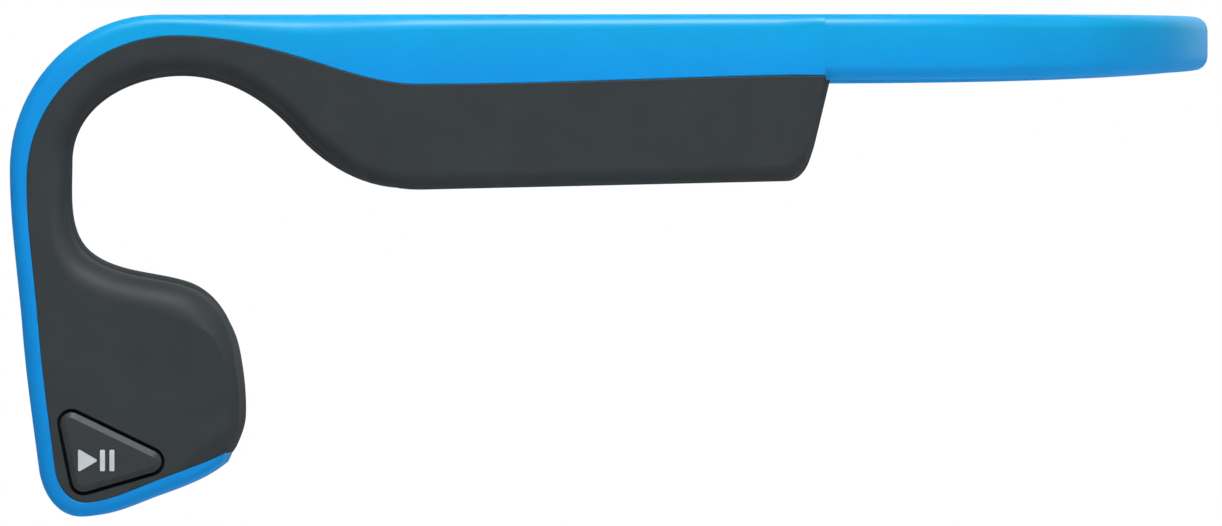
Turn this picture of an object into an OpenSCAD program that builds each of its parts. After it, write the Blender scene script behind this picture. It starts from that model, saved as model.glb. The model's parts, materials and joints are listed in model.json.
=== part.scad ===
// Bone conduction headphones: a sprung neckband with a pod, an ear hook and a speaker on each side.
// Points in the side view are [distance back from the front edge, height above the lowest point].
// Depths are measured from the parting plane of an arm, and are positive on the side away from the head.

/* [Overall] */
// Front edge of the ear hooks to the back of the neckband
overall_length = 128.7; // [124:0.1:140]
// Lowest point of the speakers to the top edge of the neckband
overall_height = 53; // [51:0.5:60]
// Free gap between the two pads
pad_gap = 100; // [85:1:125]
// Angle by which each arm closes in towards the front
toe_in = 6; // [0:0.5:9]

/* [Ear hook] */
// Width of the ear hook in the side view
hook_width = 6.1; // [5.4:0.1:7.5]
// Thickness of the ear hook
hook_thickness = 5.6; // [5:0.1:7]
// Front edge back to the end of the arch's outer curve
arch_run = 15.9; // [13:0.1:20]
// Top edge down to the end of the arch's outer curve
arch_rise = 16.4; // [14:0.1:20]
// Front edge back to the highest point of the ear opening
arch_crown = 18.4; // [16:0.1:21]
// Front edge back to the middle of the slope between hook and pod
hook_slope = 31; // [28:0.1:34]
// Front edge back to the middle of the slope between rim and pod cover
trim_slope = 32; // [29:0.1:35]
// Width of the coloured rim along the front edge
rim_width = 1.95; // [1.4:0.05:2.4]
// Depth of the coloured rim at the top of the arch
rim_top = 2.25; // [1.6:0.05:2.8]
// Depth of the coloured rim under the speaker
rim_foot = 1.5; // [1.2:0.05:2]

/* [Speaker] */
// Front edge of the hook back to the rear edge of the speaker
speaker_width = 24.6; // [24:0.1:28]
// Lowest point up to where the speaker's top edge leaves the hook
speaker_height = 26.6; // [25.6:0.1:30]
// Parting plane to the outer face
speaker_out = 5.5; // [5.2:0.1:7]
// Parting plane to the face on the head side
speaker_in = 5; // [4.8:0.1:6]
// How far the front edge leans back at the foot of the speaker
front_lean = 3.4; // [2:0.1:4]
// Height of the rounded front corner at the foot
foot_corner = 5; // [4:0.1:6]
// How far the foot climbs from its lowest point to its rear corner
foot_climb = 5.7; // [5:0.1:7]

/* [Pod] */
// Front edge of the hook back to the rear end of the pod
arm_length = 86.6; // [82:0.2:92]
// Length of the pod's straight underside, with its rear corner
pod_length = 42.8; // [41:0.2:46]
// Top edge down to the underside at the front of the pod
pod_height = 18.5; // [17.4:0.1:21]
// Thickness of the pod
pod_thickness = 9.6; // [9.2:0.1:12]
// How far the underside climbs over the pod's length
pod_climb = 1; // [0.4:0.1:1.6]
// Slant of the pod's rear end
pod_end_slant = 13.5; // [5:0.5:25]
// Size of the rounded lower corner at the pod's rear end
pod_corner = 2.6; // [2:0.1:4]
// Depth of the coloured cover at the front of the pod
cover_front = 7.4; // [6.6:0.1:8]
// Depth of the coloured cover at the rear of the pod
cover_rear = 6.5; // [6:0.1:7.2]

/* [Neckband] */
// Thickness of the sleeve at the pods
band_front_thickness = 8; // [6:0.1:8.4]
// Thickness of the sleeve round the back
band_thickness = 4.2; // [3.8:0.1:5]
// Height of the sleeve where it leaves the pod
band_height = 6.9; // [6.4:0.1:8]
// Height of the sleeve at the back of the neck
band_back_height = 5.7; // [5.6:0.1:7]
// How far the band runs on behind the pods before it turns
band_side_reach = 34; // [24:1:38]
// How far the band runs straight to each side at the back
band_back_reach = 48; // [36:1:52]
// Height of the channel in the sleeve
channel_height = 3.2; // [3:0.1:3.6]
// Width of the channel in the sleeve
channel_width = 1.8; // [1.7:0.1:2.2]
// Diameter of the sprung wires
wire_d = 1; // [0.8:0.1:1.1]
// Diameter of the leads
cable_d = 1; // [0.8:0.1:1.1]
// How far the band's wire and lead reach into each pod
wire_tail = 12; // [8:1:16]

/* [Walls and fits] */
// Wall of the shells
wall = 1.2; // [1:0.05:1.4]
// Rounding of the shell edges on the pod
pod_round = 1.8; // [1:0.1:2.2]
// Rounding of the shell edges on the hook
hook_round = 2.3; // [1.5:0.1:2.6]
// Rounding of the shell edges on the speaker
speaker_round = 2.6; // [1.5:0.1:2.8]
// Rounding of the coloured rim
rim_round = 1.5; // [0.8:0.1:1.7]
// Clearance around a piece that is dropped into its seat
seat_gap = 0.05; // [0.03:0.01:0.08]
// Clearance around a piece that moves
travel_gap = 0.3; // [0.2:0.05:0.4]

/* [Speaker drive] */
// Kept clear between the exciter and the speaker's rear edge
exciter_rear_gap = 2.75; // [2.6:0.05:3.4]
// Kept clear between the exciter and the speaker's top
exciter_top_gap = 3.75; // [3.6:0.05:4.5]
// Kept clear under the exciter, for the button
exciter_foot_gap = 9.15; // [9.1:0.05:10]
// Kept clear in front of the exciter, for the rim and the button
exciter_front_gap = 8.45; // [8.3:0.05:9.2]
// Height of the magnet
magnet_height = 1.8; // [1.2:0.1:2]
// Thickness of the pole plate
pole_height = 1; // [0.6:0.1:1.2]
// Wall of the voice coil
coil_wall = 0.8; // [0.6:0.05:0.9]
// Height of the voice coil
coil_height = 2.4; // [2:0.1:2.8]
// Air gap on each side of the voice coil
coil_gap = 0.25; // [0.2:0.05:0.35]
// Wall and base of the yoke
yoke_wall = 0.9; // [0.7:0.05:1]
// Wall of the exciter's frame
frame_wall = 0.7; // [0.5:0.05:0.8]
// Depth of the exciter's frame
frame_depth = 5; // [4.8:0.1:5.4]
// Thickness of the spring plate
spring_thickness = 0.25; // [0.2:0.05:0.4]
// Length of the pad, front to rear
pad_length = 13.6; // [12:0.1:14]
// Height of the pad
pad_height = 13.2; // [12:0.1:13.6]
// Thickness of the pad
pad_thickness = 2.9; // [2:0.1:4]
// Corner radius of the pad
pad_corner = 4.2; // [3:0.1:5]
// Thickness of the panel that carries the pad
panel_thickness = 1.4; // [1:0.1:1.8]

/* [Multifunction button] */
// Foot corner's centre back from the inside of the rim
button_back = 2.9; // [2.6:0.1:3.6]
// Foot corner's centre above the inside of the rim
button_up = 2.3; // [2.2:0.1:3]
// Foot corner's centre up to the top corner's centre
button_rise = 6.05; // [5:0.05:6.4]
// How far the top corner's centre leans forwards
button_lean = 1.25; // [0.8:0.05:1.5]
// Foot corner's centre back to the rear corner's centre
button_reach = 7.1; // [6:0.1:7.6]
// Rear corner's centre above the foot corner's centre
button_tilt = 2.05; // [1.5:0.05:2.5]
// Corner radius of the opening in the shell
button_corner = 1.55; // [1.3:0.05:1.7]
// Width of the black seal around the cap
seal_width = 0.55; // [0.4:0.05:0.7]
// How far the cap stands proud
button_proud = 0.5; // [0.3:0.05:0.8]
// How far the cap travels
button_travel = 0.35; // [0.2:0.05:0.4]

/* [Underside of the right pod] */
// Front of the pod back to the microphone
mic_back = 2.5; // [2:0.1:3.5]
// Front of the pod back to the status light
light_back = 6; // [5.5:0.1:6.5]
// Front of the pod back to the volume up button
volume_up_back = 12.1; // [11.8:0.1:13]
// Distance between the two volume buttons
volume_pitch = 9.5; // [9:0.1:10]
// Front of the pod back to the charging socket
usb_back = 32; // [31.6:0.1:32.6]
// Length of a volume button
volume_length = 7; // [6:0.1:7.4]
// Width of a volume button
volume_width = 3; // [2.6:0.1:3.4]
// Length of the charging port's cover
cover_length = 10.6; // [10.2:0.1:11]
// Width of the charging port's cover
cover_width = 4.4; // [4:0.1:4.8]
// Thickness of the cover
cover_thickness = 0.8; // [0.6:0.05:0.9]

/* [Boards and battery] */
// Thickness of the circuit boards
board_thickness = 0.8; // [0.6:0.1:1]
// Length of the battery
battery_length = 33; // [28:0.5:34]
// Thickness of the battery
battery_thickness = 6.4; // [5:0.1:6.6]
// Height of the battery
battery_height = 7.4; // [6:0.1:7.8]
// Length of the main board
main_board_length = 36; // [35.6:0.1:37]
// Height of the main board
main_board_height = 6.6; // [6:0.1:7]

/* [Hidden] */
$fn = 48;
hull_fn = 32;
rim_color = [0.11, 0.58, 0.9];
shell_color = [0.22, 0.24, 0.25];
seal_color = [0.04, 0.04, 0.045];
cap_color = [0.27, 0.29, 0.3];
metal_color = [0.62, 0.63, 0.64];
copper_color = [0.72, 0.43, 0.2];
board_color = [0.05, 0.3, 0.16];
cell_color = [0.7, 0.72, 0.74];

// Headings are compass-like angles of travel in the side view, from the pod's rear end to the speaker's rear
// corner. Each line below is one edge of an arm, with one key [back, up, heading] at the same eleven places.
top = overall_height;
pod_front = arm_length - pod_length;
pod_slope = atan(pod_climb / pod_length);
pod_floor = top - pod_height;
pod_end_up = pod_floor + pod_climb + pod_corner;
pod_end_back = arm_length - (top - cover_rear - pod_end_up) * tan(pod_end_slant);
pod_corner_back = pod_end_back - pod_corner;
hook_bend = 2.4;
front_mid = front_lean * 0.45;
front_drop = 7;
corner_run = foot_corner * 0.9;
// Places along the speaker's foot and rear, measured from its rear edge and from the rear corner's height
foot_inset = 9.3;
foot_drop = 3.6;
corner_inset = 1.9;
shoulder_inset = 5.8;
shoulder_drop = 2.4;
rear_drop = 9.2;
rear_rise = 5;

function floor_up(back) = pod_floor + (back - pod_front) * tan(pod_slope);

rim_keys = [
    [arm_length, top, 180],
    [pod_corner_back, top, 180],
    [pod_front, top, 180],
    [trim_slope, top, 180],
    [arch_run, top, 180],
    [0, top - arch_rise, 270],
    [front_mid, speaker_height - front_drop, 275],
    [front_lean, foot_corner, 277.5],
    [front_lean + corner_run, 0, 0],
    [speaker_width - foot_inset, foot_climb - foot_drop, 20],
    [speaker_width - corner_inset, foot_climb, 40]
];
split_keys = [
    [arm_length, top - cover_rear, 180],
    [pod_corner_back, top - cover_rear, 181],
    [pod_front, top - cover_front, 180],
    [trim_slope, top - (cover_front + rim_top) / 2, 163],
    [arch_crown - 0.6, top - rim_top, 180],
    [rim_width, top - arch_rise - 1.2, 270],
    [front_mid + rim_width - 0.1, speaker_height - front_drop + 0.3, 275],
    [front_lean + rim_width - 0.1, foot_corner, 277],
    [front_lean + corner_run + 0.8, rim_foot, 5],
    [speaker_width - foot_inset + 0.6, foot_climb - foot_drop + 1.7, 21],
    [speaker_width - corner_inset + 0.4, foot_climb + 1, 26]
];
inner_keys = [
    [pod_end_back, pod_end_up, 270 - pod_end_slant],
    [pod_corner_back, floor_up(pod_corner_back), 180 + pod_slope],
    [pod_front, pod_floor, 180 + pod_slope],
    [hook_slope, (top - hook_width + pod_floor) / 2, 132],
    [arch_crown, top - hook_width, 180],
    [hook_width, top - arch_rise + 0.8, 270],
    [hook_width + hook_bend, speaker_height + 0.6, 325],
    [speaker_width - shoulder_inset, speaker_height - shoulder_drop, 342],
    [speaker_width - 0.6, speaker_height - rear_drop, 280],
    [speaker_width, foot_climb + rear_rise, 268],
    [speaker_width - corner_inset + 1, foot_climb + 1.7, 245]
];

// Half thickness of the shells and the rim at the same eleven places
pod_half = pod_thickness / 2;
hook_half = hook_thickness / 2;
slope_half = (pod_half + hook_half) / 2;
band_half = band_thickness / 2;
band_front_half = band_front_thickness / 2;
pod_end_half = pod_half - 0.6;
cover_half = pod_half - 0.2;
neck_out = hook_half + (speaker_out - hook_half) * 0.6;
neck_in = hook_half + (speaker_in - hook_half) * 0.6;
out_depths = [pod_end_half, pod_half, pod_half, slope_half, hook_half, hook_half,
    neck_out, speaker_out, speaker_out, speaker_out, speaker_out - 1];
in_depths = [pod_end_half, pod_half, pod_half, slope_half, hook_half, hook_half,
    neck_in, speaker_in, speaker_in, speaker_in, speaker_in - 1];
rim_out_depths = [band_front_half, cover_half, pod_half, slope_half, hook_half, hook_half,
    neck_out, speaker_out, speaker_out, speaker_out, speaker_out - 1];
rim_in_depths = [band_front_half, cover_half, pod_half, slope_half, hook_half, hook_half,
    neck_in, speaker_in, speaker_in, speaker_in, speaker_in - 1];
shell_rounds = [pod_round, pod_round, pod_round, hook_round, hook_round, hook_round,
    hook_round, speaker_round, speaker_round, speaker_round, pod_round];
rim_rounds = [1.2, rim_round, pod_round, hook_round, rim_round, rim_round,
    rim_round, rim_round, 1.2, 1.2, 0.8];

// Stations along an arm: whole numbers are the keys
steps = [4, 2, 5, 6, 8, 5, 6, 6, 4, 4];
stations = [for (k = [0:len(steps) - 1]) for (j = [0:steps[k] - 1]) k + j / steps[k], len(steps)];
hollow_first = 2;
hollow_last = len(stations) - 3;
cover_hollow_first = 3;
cover_hollow_last = steps[0] + steps[1];
hook_run_first = steps[0] + steps[1];
hook_run_last = hook_run_first + steps[2] + steps[3] + steps[4] + steps[5] + 2;

function ray(angle) = [cos(angle), sin(angle)];
function ease(f) = f * f * (3 - 2 * f);
function segment(list, t) = min(floor(t), len(list) - 2);
function turned(p, q) = let (d = abs(q[2] - p[2]) % 360) min(d, 360 - d);
// Point on the curve through four poles, and its direction of travel there
function cubic(p, f) = let (g = 1 - f)
    g * g * g * p[0] + 3 * g * g * f * p[1] + 3 * g * f * f * p[2] + f * f * f * p[3];
function cubic_run(p, f) = let (g = 1 - f)
    g * g * (p[1] - p[0]) + 2 * g * f * (p[2] - p[1]) + f * f * (p[3] - p[2]);
function arc_between(p, q, f) = let (
        a = [p[0], p[1]],
        d = [q[0], q[1]],
        reach = norm(d - a) / (3 * pow(cos(turned(p, q) / 4), 2))
    )
    cubic([a, a + reach * ray(p[2]), d - reach * ray(q[2]), d], f);
function line_at(keys, t) = let (k = segment(keys, t)) arc_between(keys[k], keys[k + 1], t - k);
function value_at(list, t) = let (k = segment(list, t)) list[k] + (list[k + 1] - list[k]) * ease(t - k);
// Unit vector to the right of travel, which points from the inner edge towards the rim
function right_of(keys, t) = let (
        d = line_at(keys, min(t + 0.01, len(keys) - 1)) - line_at(keys, max(t - 0.01, 0))
    )
    [d[1], -d[0]] / norm(d);
function deep(p, depth) = [p[0], -depth, p[1]];

// Half section of a shell, from the parting plane at the inner edge to the parting plane at the rim
function shell_section(t, depths, side) = let (
        a = line_at(inner_keys, t),
        b = line_at(split_keys, t),
        depth = value_at(depths, t),
        r = min(value_at(shell_rounds, t), 0.8 * norm(b - a)),
        across = (b - a) / norm(b - a)
    ) [
        deep(a, 0),
        for (angle = [0:30:90])
            deep(a + across * r * (1 - cos(angle)), side * (depth - r * (1 - sin(angle)))),
        deep(b, side * depth),
        deep(b, 0)
    ];
// Hollow of a shell, one wall inside the half section
function hollow_section(t, depths, side) = let (
        a = line_at(inner_keys, t) + wall * right_of(inner_keys, t),
        b = line_at(split_keys, t) - wall * right_of(split_keys, t),
        depth = value_at(depths, t) - wall,
        cut = 0.4,
        across = (b - a) / norm(b - a)
    ) [
        deep(a, 0),
        deep(a, side * (depth - cut)),
        deep(a + across * cut, side * depth),
        deep(b, side * depth),
        deep(b, 0)
    ];
// Section of the rim, from the outer side of its root around its edge to the inner side
function rim_section(t) = let (
        a = line_at(split_keys, t),
        b = line_at(rim_keys, t),
        r = min(value_at(rim_rounds, t), 0.8 * norm(b - a)),
        across = (b - a) / norm(b - a),
        out = value_at(rim_out_depths, t),
        in = value_at(rim_in_depths, t)
    ) [
        deep(a, out),
        for (angle = [90:-30:0])
            deep(b - across * r * (1 - cos(angle)), out - r * (1 - sin(angle))),
        for (angle = [0:30:90])
            deep(b - across * r * (1 - cos(angle)), -in + r * (1 - sin(angle))),
        deep(a, -in)
    ];
function rim_hollow_section(t) = let (
        a = line_at(split_keys, t),
        b = line_at(rim_keys, t) - wall * right_of(rim_keys, t),
        out = value_at(rim_out_depths, t) - wall,
        in = value_at(rim_in_depths, t) - wall
    ) [deep(a, out), deep(b, out), deep(b, -in), deep(a, -in)];

function quad(a, b, c, d) = [[a, b, c], [a, c, d]];
function fan(loop) = [for (j = [1:len(loop) - 2]) [loop[0], loop[j], loop[j + 1]]];
function turn_over(faces) = [for (f = faces) [f[0], f[2], f[1]]];
function flat(lists) = [for (l = lists) each l];

// Closed skin of a shell that is open along one side: outer and inner sections run from one lip
// to the other, and the hollow lies between two of the stations.
module open_shell(outer, inner, first, last, mirrored) {
    n = len(outer);
    m = len(outer[0]);
    k = len(inner[0]);
    mid = floor(m / 2);
    o = function (i, j) i * m + j;
    h = function (i, j) n * m + i * k + j;
    faces = flat([
        for (i = [0:n - 2]) for (j = [0:m - 2]) quad(o(i, j), o(i, j + 1), o(i + 1, j + 1), o(i + 1, j)),
        for (i = [0:n - 2]) quad(o(i, 0), o(i + 1, 0), h(i + 1, 0), h(i, 0)),
        for (i = [0:n - 2]) quad(o(i, m - 1), h(i, k - 1), h(i + 1, k - 1), o(i + 1, m - 1)),
        for (i = [0:n - 2]) if (i < first || i >= last)
            quad(h(i, 0), h(i + 1, 0), h(i + 1, k - 1), h(i, k - 1)),
        for (i = [first:last - 1]) for (j = [0:k - 2])
            quad(h(i, j), h(i + 1, j), h(i + 1, j + 1), h(i, j + 1)),
        fan([for (j = [0:k - 1]) h(first, j)]),
        fan([for (j = [k - 1:-1:0]) h(last, j)]),
        fan([for (j = [mid:-1:0]) o(0, j), h(0, 0), h(0, k - 1), for (j = [m - 1:-1:mid + 1]) o(0, j)]),
        fan([
            for (j = [mid:m - 1]) o(n - 1, j),
            h(n - 1, k - 1),
            h(n - 1, 0),
            for (j = [0:mid - 1]) o(n - 1, j)
        ])
    ]);
    polyhedron(concat(flat(outer), flat(inner)), mirrored ? faces : turn_over(faces), convexity = 10);
}

// Tube through rings of points, with a channel through it
module sleeve_through(outer, inner) {
    n = len(outer);
    m = len(outer[0]);
    o = function (i, j) i * m + j % m;
    h = function (i, j) n * m + i * m + j % m;
    faces = flat([
        for (i = [0:n - 2]) for (j = [0:m - 1]) quad(o(i, j), o(i, j + 1), o(i + 1, j + 1), o(i + 1, j)),
        for (i = [0:n - 2]) for (j = [0:m - 1]) quad(h(i, j), h(i + 1, j), h(i + 1, j + 1), h(i, j + 1)),
        for (j = [0:m - 1]) quad(o(0, j), h(0, j), h(0, j + 1), o(0, j + 1)),
        for (j = [0:m - 1]) quad(o(n - 1, j), o(n - 1, j + 1), h(n - 1, j + 1), h(n - 1, j))
    ]);
    polyhedron(concat(flat(outer), flat(inner)), faces, convexity = 10);
}

// Solid round rod through a line of points, with the sideways direction of each ring given
rod_sides = 8;
rod_flat = cos(180 / rod_sides);
module rod_through(path, sideways, d) {
    n = len(path);
    along = [for (i = [0:n - 1]) let (v = path[min(i + 1, n - 1)] - path[max(i - 1, 0)]) v / norm(v)];
    rings = [
        for (i = [0:n - 1]) let (up = cross(along[i], sideways[i]))
            [for (j = [0:rod_sides - 1]) let (a = ray((j + 0.5) * 360 / rod_sides))
                path[i] + d / 2 * (a[0] * sideways[i] + a[1] * up)]
    ];
    at = function (i, j) i * rod_sides + j % rod_sides;
    faces = flat([
        for (i = [0:n - 2]) for (j = [0:rod_sides - 1])
            quad(at(i, j), at(i + 1, j), at(i + 1, j + 1), at(i, j + 1)),
        fan([for (j = [0:rod_sides - 1]) at(0, j)]),
        fan([for (j = [rod_sides - 1:-1:0]) at(n - 1, j)])
    ]);
    polyhedron(flat(rings), faces, convexity = 10);
}

// Places of the speaker's parts in the side view and in depth
exciter_room = [
    speaker_width - exciter_front_gap - exciter_rear_gap,
    speaker_height - exciter_foot_gap - exciter_top_gap
];
exciter = [exciter_front_gap, exciter_foot_gap] + exciter_room / 2;
pad_centre = [exciter[0] - 0.6, exciter[1] - 1.3];
seat_depth = speaker_out - wall - 0.5;
frame_r = min(exciter_room) / 2;
frame_in = frame_r - frame_wall;
yoke_r = frame_in - seat_gap;
yoke_in = yoke_r - yoke_wall;
coil_out = yoke_in - coil_gap;
coil_in = coil_out - coil_wall;
pole_r = coil_in - coil_gap;
magnet_r = pole_r - 0.1;
yoke_depth = yoke_wall + magnet_height + pole_height;
spring_depth = seat_depth - frame_depth;
panel_back = -(speaker_in - wall) - 0.1;
panel_face = panel_back - panel_thickness;
pad_face = panel_face - pad_thickness;
panel_gap = travel_gap + 0.05;
pad_lip = panel_gap + 0.5;

// Places of the button and its switch
button_foot = [front_lean + rim_width + button_back, rim_foot + button_up];
button_corners = [
    button_foot,
    button_foot + [-button_lean, button_rise],
    button_foot + [button_reach, button_tilt]
];
button_middle = (button_corners[0] + button_corners[1] + button_corners[2]) / 3;
shell_inside = speaker_out - wall;
seal_flange = 0.6;
seal_lip = 0.35;
seal_back = shell_inside - seal_flange;
cap_r = button_corner - seal_width;
lip_depth = 0.4;
press_clear = 0.15;
lip_back = seal_back - seat_gap - lip_depth;
stem_r = 0.9;
stem_length = 0.85;
switch_face = lip_back - button_travel - press_clear;
switch_height = 1.2;
switch_back = switch_face - switch_height;
switch_size = 3.4;
switch_board_length = 5.4;
switch_board_height = 4.8;
post_r = 0.9;

// Heights above the pod's underside, which the parts there share
flange_up = wall + seat_gap;
flange_height = 0.6;
flange_reach = 0.6;
key_travel = button_travel;
key_proud = 0.15;
key_stem_r = 0.7;
key_stem = 1.05;
key_switch_up = flange_up + flange_height + key_travel + press_clear;
key_switch_height = 2.25;
key_switch_depth = 2.6;
board_face = -key_switch_depth / 2;
board_up = key_switch_up;
usb_length = 7.4;
usb_height = 5;
usb_up = wall + 0.1;
usb_shell = 0.35;
bead_r = 0.7;
bead_up = cover_thickness - 0.1;
light_r = 0.6;
small_hole_sides = 12;
mic_size = [3, 1.1, 2];
volume_down_back = volume_up_back + volume_pitch;

// Place of an arm, and of the plan curve of the band that joins its pod
arm_y = pad_gap / 2 - pad_face * cos(toe_in) - pad_centre[0] * sin(toe_in);
module on_left() {
    translate([-overall_length / 2, -arm_y, -overall_height / 2])
        rotate([0, 0, -toe_in])
            children();
}
module on_right() {
    mirror([0, 1, 0]) on_left() children();
}
// Stands children on the side view plane at a depth, with their height pointing away from the head
module facing_out(place, depth) {
    translate([place[0], -depth, place[1]]) rotate([90, 0, 0]) children();
}
// Stands children on the pod's underside, with their height pointing into the pod
module under_pod(back) {
    translate([back, 0, floor_up(back)]) rotate([0, -pod_slope, 0]) children();
}

band_start = [arm_length * cos(toe_in) - overall_length / 2, -arm_y - arm_length * sin(toe_in)];
band_end = [overall_length / 2 - band_half, 0];
band_steps = 22;
band_poles = [
    band_start,
    band_start + band_side_reach * ray(-toe_in),
    band_end - [0, band_back_reach],
    band_end
];
function across_plan(v) = [v[0], -v[1]];
function band_plan(s) = s <= 1 ? cubic(band_poles, s) : across_plan(band_plan(2 - s));
function band_out(s) = s <= 1
    ? let (d = cubic_run(band_poles, s)) [d[1], -d[0]] / norm(d)
    : across_plan(band_out(2 - s));
function from_pod(s) = s <= 1 ? s : 2 - s;
function band_share(s) = ease(from_pod(s));
function band_height_at(s) = band_height + (band_back_height - band_height) * band_share(s);
// The sleeve thins over the part of each half that lies next to its pod
band_taper = 0.5;
function band_thickness_at(s) = band_front_thickness
    + (band_thickness - band_front_thickness) * ease(min(1, from_pod(s) / band_taper));
band_stations = [for (i = [0:2 * band_steps]) i / band_steps];
// Rounded rectangle as offsets [outwards, up] with its centre at the origin
function round_box(w, h, r) = [
    for (corner = [[1, 1, 0], [-1, 1, 90], [-1, -1, 180], [1, -1, 270]]) for (a = [0:45:90])
        [corner[0] * (w / 2 - r), corner[1] * (h / 2 - r)] + r * ray(corner[2] + a)
];
function band_ring(s, w, h, r, middle_up) = let (p = band_plan(s), out = band_out(s)) [
    for (q = round_box(w, h, r)) [p[0] + q[0] * out[0], p[1] + q[0] * out[1], middle_up + q[1]]
];
band_up = overall_height / 2 - band_back_height / 2;
// Path of a wire or a lead in the band, with a straight tail in each pod
function band_path(up) = let (
        tail = wire_tail * ray(-toe_in),
        a = band_start - tail
    ) [
        [a[0], a[1], up],
        for (s = band_stations) let (p = band_plan(s)) [p[0], p[1], up],
        [a[0], -a[1], up]
    ];
band_sideways = let (a = band_out(0)) [
    [a[0], a[1], 0],
    for (s = band_stations) let (p = band_out(s)) [p[0], p[1], 0],
    [a[0], -a[1], 0]
];
wire_up = band_up + (channel_height - wire_d * rod_flat) / 2;
cable_up = band_up - (channel_height - cable_d * rod_flat) / 2;

// Path of a wire or a lead in an ear hook, at one depth
function hook_middle(t) = (line_at(inner_keys, t) + line_at(split_keys, t)) / 2;
function hook_path(depth) = [
    for (i = [hook_run_first:hook_run_last]) deep(hook_middle(stations[i]), depth)
];
hook_sideways = [for (i = [hook_run_first:hook_run_last]) [0, -1, 0]];
hook_wire_depth = -wire_d / 2 * rod_flat;
hook_cable_depth = cable_d / 2 * rod_flat;
// Bosses in the hollow of the hook that clamp the wire and the lead between them
hook_boss_keys = [3, 4, 5];
hook_boss_r = 0.7;

module neckband_sleeve() {
    color(rim_color) sleeve_through(
        [for (s = band_stations) let (h = band_height_at(s))
            band_ring(s, band_thickness_at(s), h, rim_round, overall_height / 2 - h / 2)],
        [for (s = band_stations) band_ring(s, channel_width, channel_height, 0.4, band_up)]
    );
}
module neckband_wire() {
    color(metal_color) rod_through(band_path(wire_up), band_sideways, wire_d);
}
module neckband_cable() {
    color(seal_color) rod_through(band_path(cable_up), band_sideways, cable_d);
}

// Coloured rim, hollow where it covers the pod, with the slot for the band's wire and lead
module arm_trim() {
    color(rim_color) difference() {
        open_shell(
            [for (t = stations) rim_section(t)],
            [for (t = stations) rim_hollow_section(t)],
            cover_hollow_first,
            cover_hollow_last,
            false
        );
        slot_height = channel_height + 2 * seat_gap;
        translate([arm_length - wire_tail, -channel_width / 2, band_up + (overall_height - slot_height) / 2])
            cube([wire_tail + 1, channel_width, slot_height]);
    }
}
module shell_half(depths, side) {
    held = side < 0 ? wire_d : cable_d;
    open_shell(
        [for (t = stations) shell_section(t, depths, side)],
        [for (t = stations) hollow_section(t, depths, side)],
        hollow_first,
        hollow_last,
        side < 0
    );
    for (t = hook_boss_keys) {
        near = side * held * rod_flat;
        far = side * (value_at(depths, t) - wall / 2);
        facing_out(hook_middle(t), min(near, far)) cylinder(r = hook_boss_r, h = abs(far - near));
    }
}
// Cuts through the pod's underside, which both halves of the right arm share
module underside_cuts() {
    deep_cut = wall + 1;
    for (back = [volume_up_back, volume_down_back]) under_pod(pod_front + back) translate([0, 0, -1])
        linear_extrude(deep_cut + 1)
            slot_shape(volume_length + 2 * travel_gap, volume_width + 2 * travel_gap);
    under_pod(pod_front + usb_back) {
        cover_gap = travel_gap / 2;
        translate([-cover_length / 2 - cover_gap, -cover_width / 2 - cover_gap, -1])
            cube([cover_length + 2 * cover_gap, cover_width + 2 * cover_gap, 1 + cover_thickness + 0.1]);
        translate([-usb_length / 2 - travel_gap, -key_switch_depth / 2 - travel_gap, -1])
            cube([usb_length + 2 * travel_gap, key_switch_depth + 2 * travel_gap, deep_cut + 1]);
        translate([cover_length / 2 - bead_r, cover_width / 2, bead_up]) rotate([90, 0, 0])
            cylinder(r = bead_r + seat_gap, h = cover_width);
    }
    under_pod(pod_front + light_back) translate([0, 0, -1])
        cylinder(r = light_r + seat_gap, h = deep_cut + 1, $fn = small_hole_sides);
    under_pod(pod_front + mic_back) translate([0, 0, -1])
        cylinder(r = light_r, h = deep_cut + 1, $fn = small_hole_sides);
}
// Outline with round ends
module slot_shape(length, width) {
    square([length - width, width], center = true);
    for (x = [-1, 1]) translate([x * (length - width) / 2, 0]) circle(d = width);
}
// Outer half with the seat that the exciter's frame is dropped into
module outer_half() {
    difference() {
        union() {
            shell_half(out_depths, 1);
            facing_out(exciter, seat_depth) cylinder(r = frame_r, h = speaker_out - wall / 2 - seat_depth);
        }
        facing_out(exciter, spring_depth) cylinder(r = frame_r + seat_gap, h = frame_depth);
    }
}
// Triangle through the button's three corners
module button_shape(r) {
    hull() for (c = button_corners) translate(c) circle(r = r, $fn = hull_fn);
}
module left_outer_shell() {
    pocket_back = lip_back - button_travel - travel_gap;
    color(shell_color) on_left() difference() {
        outer_half();
        facing_out([0, 0], shell_inside - 1) linear_extrude(wall + 2) button_shape(button_corner);
        facing_out([0, 0], pocket_back) linear_extrude(shell_inside - pocket_back)
            button_shape(button_corner + seal_lip + seat_gap);
    }
}
module right_outer_shell() {
    color(shell_color) on_right() difference() {
        outer_half();
        underside_cuts();
    }
}
module pad_shape(grow) {
    r = pad_corner + grow;
    span = [pad_length, pad_height] / 2 - [pad_corner, pad_corner];
    translate(pad_centre) hull() for (x = [-1, 1]) for (y = [-1, 1])
        translate([x * span[0], y * span[1]]) circle(r = r, $fn = hull_fn);
}
module pad_opening() {
    facing_out([0, 0], -speaker_in - 1) linear_extrude(wall + 2) pad_shape(panel_gap);
}
switch_posts = [button_middle + [-1.8, -1.2], button_middle + [1.8, -1.2]];
module left_inner_shell() {
    post_base = -speaker_in + wall / 2;
    color(shell_color) on_left() {
        difference() {
            shell_half(in_depths, -1);
            pad_opening();
        }
        for (p = switch_posts) facing_out(p, post_base)
            cylinder(r = post_r, h = switch_back - board_thickness - post_base);
    }
}
board_posts = [8, 26];
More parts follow.
